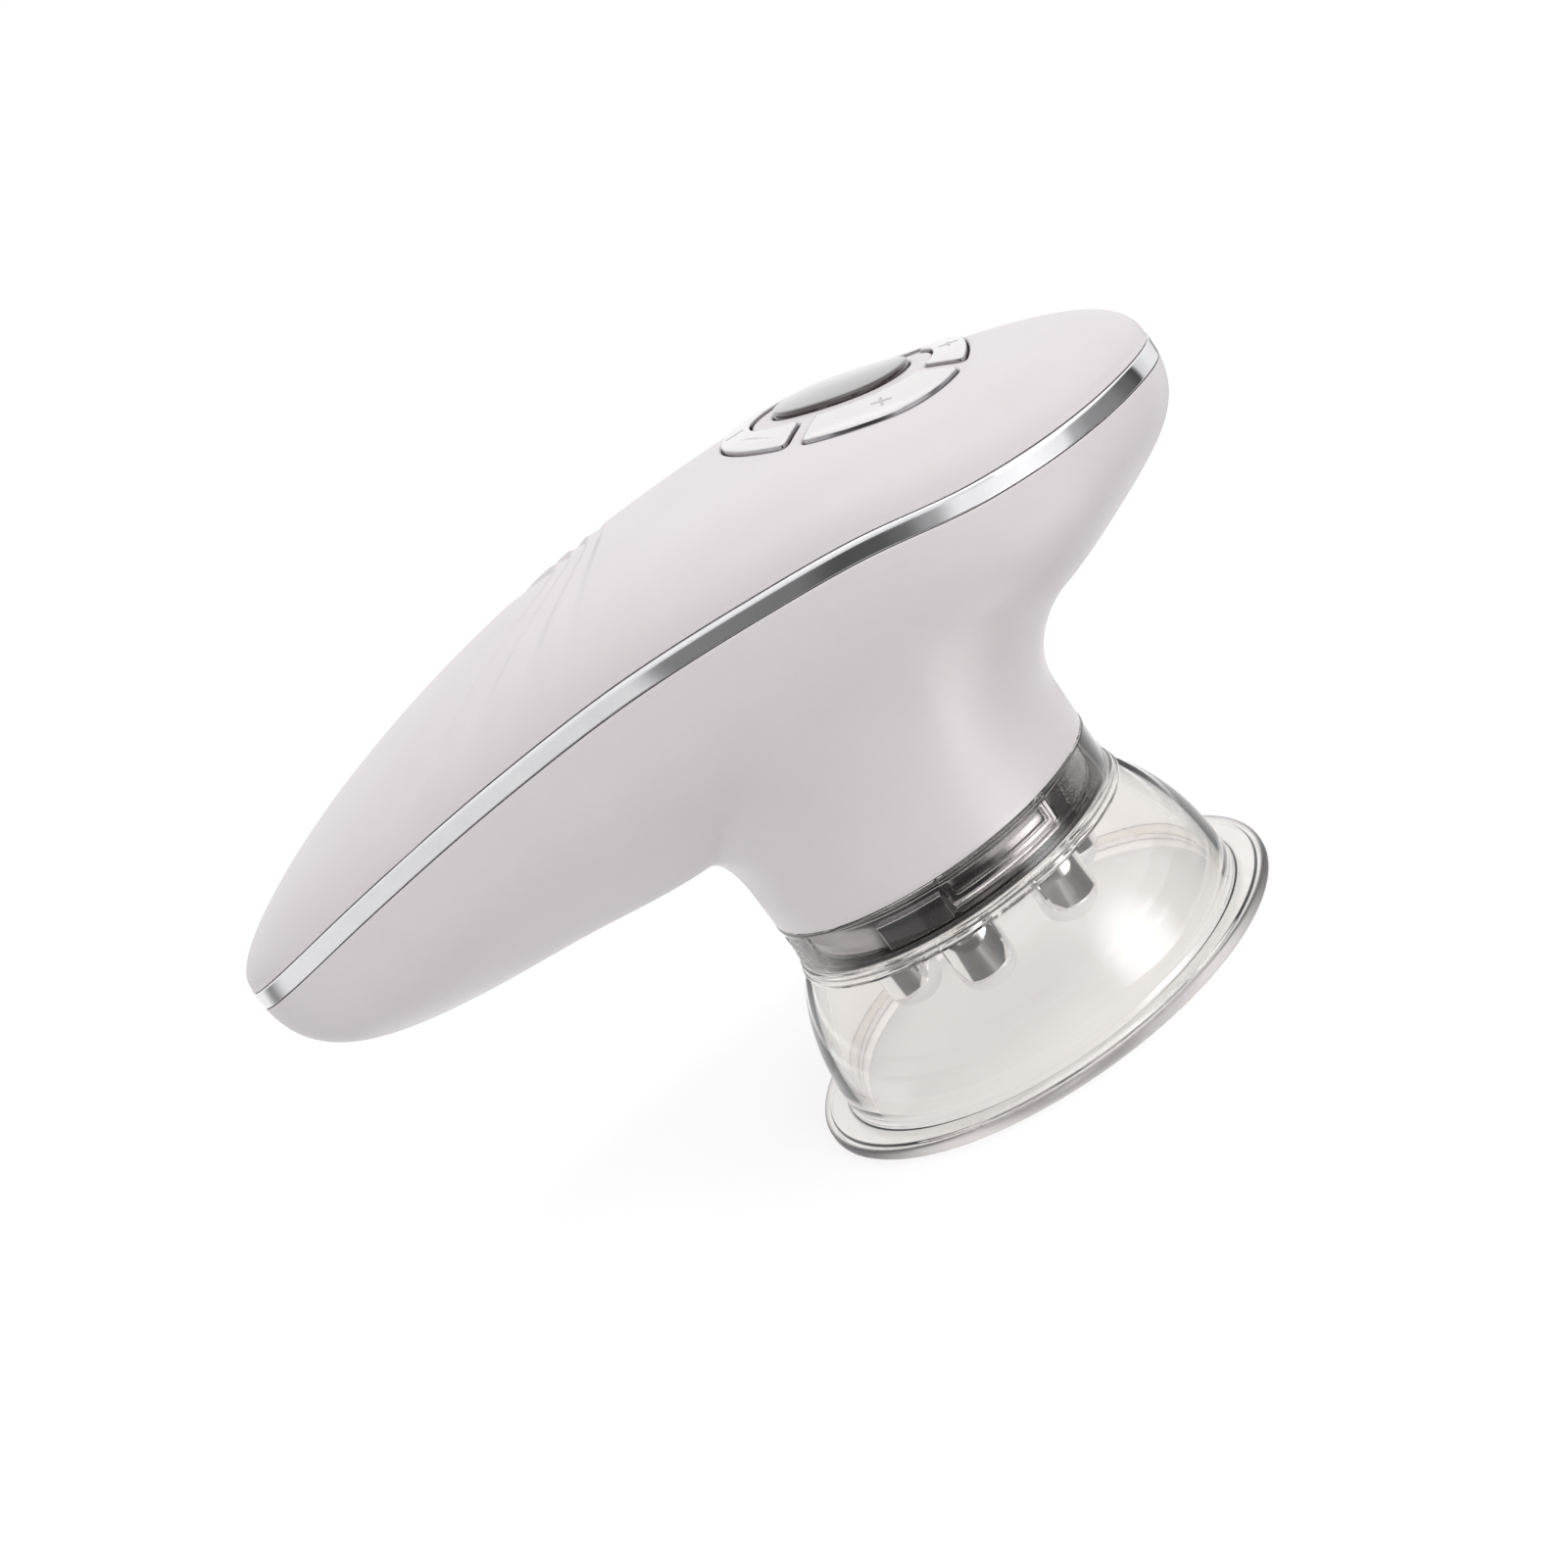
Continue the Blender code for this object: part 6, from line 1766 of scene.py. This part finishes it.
    def nozzle(self) -> None:
        """Builds the nozzle's cover with its ring of small holes."""
        low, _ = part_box("suction_nozzle")
        neck, rim = self.nozzle_radius - self.nozzle_neck, low.z + self.nozzle_rim
        corners = [
            (0.0, low.z + self.nozzle_height, 0.0), (neck, low.z + self.nozzle_height, 0.0),
            (neck, rim, 0.0), (self.nozzle_radius, rim, self.fine_edge),
            (self.nozzle_radius, low.z, self.soft_edge), (0.0, low.z, 0.0),
        ]
        cover = turned("nozzle_cover", rounded(corners), self.nozzle_steps, FORM.centre)
        up, down = self.hole_reach
        profile = [(0.0, low.z + up), (self.nozzle_hole, low.z + up)]
        profile += [(self.nozzle_hole, low.z - down), (0.0, low.z - down)]
        holes = turned("nozzle_holes", profile, self.hole_steps)
        apply_nodes(
            holes, ring_tree(), Count=self.nozzle_holes, Radius=self.nozzle_radius * self.hole_circle,
            Phase=self.hole_phase, Centre=(*FORM.centre, 0.0), Material=FINISHES.built["black_plastic"],
        )
        combine(cover, [holes], "DIFFERENCE")
        cover.data.materials.clear()
        seat(cover, "inner_grey", BODY, "inner_grey", "suction_nozzle")

    def build(self, cup: SuctionCup) -> None:
        """Builds everything of the base.

        Args:
            cup: The cup that the ring holds.
        """
        self.ring(cup)
        for piece in (self.plate, self.seal, self.post_set, self.nozzle):
            piece()


@dataclass(frozen=True)
class InnerWorks:
    """The pieces inside the housings, which keep their solids and get finished surfaces."""

    slots: dict[str, str]

    def build(self) -> None:
        """Gives each node of the model its slot's finish."""
        for name, node in frame["nodes"].items():
            node.data.materials.clear()
            node.data.materials.append(FINISHES.built[self.slots[name]])
        LOG.info("inner works: %d nodes dressed", len(self.slots))


@dataclass(frozen=True)
class ToneFan:
    """A fan on the floor round the cup whose tone runs with the angle, for metal to show."""

    name: str
    near: float
    far: float
    tones: tuple[tuple[float, float], ...]
    height: float = -0.0001
    facing: float = -80.0
    columns: int = 97

    def mesh(self) -> Mesh:
        """Builds the fan, turned so that its middle lies on +X.

        Returns:
            The fan's mesh.
        """
        turns = np.radians(np.linspace(self.tones[0][0], self.tones[-1][0], self.columns) - self.facing)
        cos, sin, level = np.cos(turns), np.sin(turns), np.full(self.columns, self.height)
        rows = [np.stack([reach * cos, reach * sin, level], 1) for reach in (self.near, self.far)]
        wide = self.columns
        faces = [(i, wide + i, wide + i + 1, i + 1) for i in range(wide - 1)]
        return new_mesh(self.name, np.concatenate(rows).tolist(), faces)

    def material(self) -> Material:
        """Builds the light that runs with the angle.

        Returns:
            An emission material.
        """
        material, tree = bare_material(self.name)
        x, y, _ = tree.add("ShaderNodeSeparateXYZ", {0: tree.place()}).outputs
        angle = tree.maths("ARCTAN2", y, x)
        first, last = self.tones[0][0], self.tones[-1][0]
        span = math.radians(last - first)
        share = tree.maths("MULTIPLY_ADD", angle, 1 / span, math.radians(self.facing - first) / span)
        ramp = tree.add("ShaderNodeValToRGB", {0: share})
        while len(ramp.color_ramp.elements) < len(self.tones):
            ramp.color_ramp.elements.new(0.5)
        for element, (turn, tone) in zip(ramp.color_ramp.elements, self.tones):
            element.position = (turn - first) / (last - first)
            element.color = rgba((tone, tone, tone))
        ramp.color_ramp.interpolation = "EASE"
        glow = tree.add("ShaderNodeEmission", {"Color": ramp.outputs["Color"]})
        tree.add("ShaderNodeOutputMaterial", {"Surface": glow.outputs[0]})
        return material


@dataclass(frozen=True)
class Lamp:
    """A soft square lamp, with its side in metres and its power in watts."""

    name: str
    place: tuple[float, float, float]
    size: float
    power: float


@dataclass
class Studio:
    """Pale floor, soft lamps, toned fans and a glow for the metal to show, and the camera."""

    floor_size: float = 6.0
    yaw: float = math.radians(10.0)
    elevation: float = math.radians(14.5559)
    roll: float = math.radians(-35.9973)
    shift_right: float = 0.0451236
    shift_up: float = -0.0348408
    distance: float = 0.430
    focal_pixels: float = 2521.6755
    frame_pixels: float = 1600.0
    sensor: float = 36.0
    nearest: float = 0.01
    backdrop: float = 1.02
    ambient: float = 0.64
    floor_level: float = -0.0003
    floor_colour: tuple[float, float, float] = (0.78, 0.777, 0.78)
    floor_roughness: float = 0.8
    floor_lift: float = 0.44
    floor_far_lift: float = 0.70
    floor_fade: tuple[float, float] = (0.12, 0.75)
    mirrored_lift: float = 0.34
    lamp_target: tuple[float, float, float] = (0.02, 0.0, 0.06)
    lamps: tuple[Lamp, ...] = (
        Lamp("key_lamp", (0.40, -0.60, 1.00), 0.9, 2.7),
        Lamp("side_lamp", (0.95, -0.35, 0.25), 1.3, 2.1),
        Lamp("back_lamp", (0.05, 0.55, 1.00), 0.8, 1.0),
    )
    glow_place: tuple[float, float, float] = (0.0575, -0.0440, 0.0075)
    glow_target: tuple[float, float, float] = (0.0395, -0.0320, 0.0080)
    glow_size: tuple[float, float] = (0.040, 0.052)
    glow_strength: float = 9.0
    glow_share: float = 0.9
    fans: tuple[ToneFan, ...] = (
        ToneFan("post_fan", 0.050, 0.110, (
            (-200.0, 1.00), (-152.0, 0.95), (-143.0, 0.16), (-108.0, 0.12), (-92.0, 0.17), (-78.0, 0.42),
            (-64.0, 0.24), (-48.0, 0.11), (-20.0, 0.07), (2.0, 0.10), (14.0, 0.80), (40.0, 1.00),
        )),
        ToneFan("ring_fan", 0.110, 0.150, (
            (-245.0, 1.80), (-192.0, 1.60), (-176.0, 0.75), (-164.0, 0.12), (-140.0, 0.06), (-84.0, 0.05),
            (-68.0, 0.06), (-58.0, 0.50), (-48.0, 2.40), (-34.0, 3.60), (-24.0, 2.40), (-15.0, 0.50),
            (-8.0, 0.10), (10.0, 0.08), (22.0, 0.30), (36.0, 1.20), (60.0, 1.80), (85.0, 1.80),
        )),
        ToneFan("band_fan", 0.150, 1.300, (
            (-259.9, 0.16), (-240.0, 0.30), (-222.0, 1.00), (-200.0, 0.95), (-184.0, 0.30), (-170.0, 0.90),
            (-118.0, 0.80), (-114.0, 0.24), (-96.0, 0.20), (-87.0, 0.09), (-80.0, 0.10), (-75.0, 0.16),
            (-69.0, 0.40), (-62.0, 1.00), (-45.0, 1.15), (-28.0, 1.00), (-20.0, 0.46), (-12.0, 0.32),
            (0.0, 0.26), (10.0, 0.15), (19.0, 0.07), (22.0, 0.80), (34.0, 0.95), (52.0, 0.90),
            (66.0, 0.28), (84.0, 0.12), (99.9, 0.16),
        )),
    )

    @cached_property
    def axes(self) -> Matrix:
        """The camera's right, up and back as columns.

        Returns:
            The rotation from the camera's frame to the model's.
        """
        a, e, r = self.yaw, self.elevation, self.roll
        back = Vector((math.sin(a) * math.cos(e), -math.cos(a) * math.cos(e), math.sin(e)))
        right = Vector((math.cos(a), math.sin(a), 0.0))
        up = Vector((-math.sin(a) * math.sin(e), math.cos(a) * math.sin(e), math.cos(e)))
        rolled_right = right * math.cos(r) + up * math.sin(r)
        rolled_up = up * math.cos(r) - right * math.sin(r)
        return Matrix((rolled_right, rolled_up, back)).transposed()

    def camera(self) -> None:
        """Places the camera where the photograph was taken from."""
        data = bpy.data.cameras.new("camera")
        data.sensor_width = self.sensor
        data.lens = self.focal_pixels / self.frame_pixels * self.sensor
        data.clip_start = self.nearest
        camera = linked("camera", data)
        eye = self.axes @ Vector((-self.shift_right, -self.shift_up, self.distance))
        camera.matrix_world = Matrix.Translation(eye + Vector((*FORM.centre, 0.0))) @ self.axes.to_4x4()
        bpy.context.scene.camera = camera

    def world(self) -> None:
        """White backdrop for what sees it, softer light for the rest."""
        world = bpy.data.worlds.new("studio")
        bpy.context.scene.world = world
        world.use_nodes = True
        tree = Tree(world.node_tree)
        sky = world.node_tree.nodes["Background"]
        sky.inputs["Color"].default_value = WHITE
        path = tree.add("ShaderNodeLightPath").outputs
        seen = tree.maths("MAXIMUM", path["Is Camera Ray"], path["Is Glossy Ray"])
        seen = tree.maths("MAXIMUM", seen, path["Is Transmission Ray"])
        strength = tree.maths("MULTIPLY_ADD", seen, self.backdrop - self.ambient, self.ambient)
        tree.join(strength, sky.inputs["Strength"])

    def square(self, name: str, half: float) -> Mesh:
        """Flat square that faces up."""
        corners = [(-half, -half, 0), (half, -half, 0), (half, half, 0), (-half, half, 0)]
        return new_mesh(name, corners, [(0, 1, 2, 3)])

    def floor(self) -> None:
        """Pale floor that keeps the object's shadow, and is clear from below."""
        floor = linked("floor", self.square("floor", self.floor_size / 2))
        floor.location.z = self.floor_level
        material, tree, shader = shaded_material("pale_floor", {
            "Base Color": rgba(self.floor_colour), "Roughness": self.floor_roughness,
            "Specular IOR Level": 0.0, "Emission Color": WHITE,
        })
        path = tree.add("ShaderNodeLightPath").outputs
        mirrored = tree.maths("MAXIMUM", path["Is Glossy Ray"], path["Is Transmission Ray"])
        reach = tree.add("ShaderNodeVectorMath", {0: tree.place()}, operation="LENGTH")
        lift = tree.add("ShaderNodeMapRange", {
            0: reach.outputs["Value"], 1: self.floor_fade[0], 2: self.floor_fade[1],
            3: self.floor_lift, 4: self.floor_far_lift,
        })
        straight = tree.maths("MULTIPLY", path["Is Camera Ray"], lift.outputs[0])
        glow = tree.maths("MULTIPLY_ADD", mirrored, self.mirrored_lift, straight)
        tree.join(glow, shader.inputs["Emission Strength"])
        below = tree.add("ShaderNodeNewGeometry").outputs["Backfacing"]
        clear = tree.add("ShaderNodeBsdfTransparent")
        tree.two_shaders(below, shader.outputs[0], clear.outputs[0])
        floor.data.materials.append(material)

    def lamp(self, given: Lamp) -> None:
        """Adds a soft square lamp that points at the object.

        Args:
            given: The lamp.
        """
        data = bpy.data.lights.new(given.name, "AREA")
        data.shape = "SQUARE"
        data.size = given.size
        data.energy = given.power
        lamp = linked(given.name, data)
        lamp.location = given.place
        way = Vector(self.lamp_target) - Vector(given.place)
        lamp.rotation_euler = way.to_track_quat("-Z", "Y").to_euler()

    def hidden_card(self, card: Object, material: Material) -> None:
        """Dresses a card that only reflections and the clear cup's walls show.

        Args:
            card: Its object.
            material: Its material.
        """
        card.data.materials.append(material)
        card.visible_camera = False
        card.visible_diffuse = False
        card.visible_shadow = False

    def toned_fan(self, fan: ToneFan) -> None:
        """Lays a fan on the floor round the cup.

        Args:
            fan: The fan.
        """
        card = new_object(fan.name, fan.mesh())
        card.location = (*FORM.centre, 0.0)
        card.rotation_euler = (0.0, 0.0, math.radians(fan.facing))
        self.hidden_card(card, fan.material())

    def glow_card(self, name: str) -> None:
        """Adds an oval soft light that only reflections show.

        Args:
            name: Its name.
        """
        card = new_object(name, self.square(name, 1))
        place = Vector(self.glow_place)
        wide, high = self.glow_size
        turn = (Vector(self.glow_target) - place).to_track_quat("Z", "Y").to_matrix().to_4x4()
        card.matrix_world = Matrix.Translation(place) @ turn @ Matrix.Diagonal((wide / 2, high / 2, 1.0, 1.0))
        material, tree = bare_material(name)
        fall = tree.add("ShaderNodeTexGradient", {0: tree.place()}, gradient_type="SPHERICAL")
        soft = tree.add(
            "ShaderNodeMapRange",
            {0: fall.outputs["Fac"], 1: 0.0, 2: self.glow_share, 3: 0.0, 4: self.glow_strength},
            interpolation_type="SMOOTHSTEP",
        )
        light = tree.add("ShaderNodeEmission", {"Strength": soft.outputs[0]})
        clear = tree.add("ShaderNodeBsdfTransparent")
        added = tree.add("ShaderNodeAddShader", {0: light.outputs[0], 1: clear.outputs[0]})
        tree.add("ShaderNodeOutputMaterial", {"Surface": added.outputs[0]})
        self.hidden_card(card, material)
        card.visible_transmission = False

    def build(self) -> None:
        """Builds the whole studio."""
        bpy.context.scene.view_settings.view_transform = "Standard"
        self.world()
        self.floor()
        self.camera()
        for lamp in self.lamps:
            self.lamp(lamp)
        for fan in self.fans:
            self.toned_fan(fan)
        self.glow_card("cup_glow")


def main() -> None:
    """Builds every sub-assembly in order."""
    logging.basicConfig(level=logging.INFO, format="%(name)s: %(message)s")
    Studio().build()
    InnerWorks({part["node"]: part["material_slot"] for part in frame["record"]["subparts"]}).build()
    panel = ControlPanel()
    Housings().build(panel.cutters())
    panel.build()
    cup = SuctionCup()
    cup.build()
    SuctionBase().build(cup)


if __name__ == "__main__":
    main()
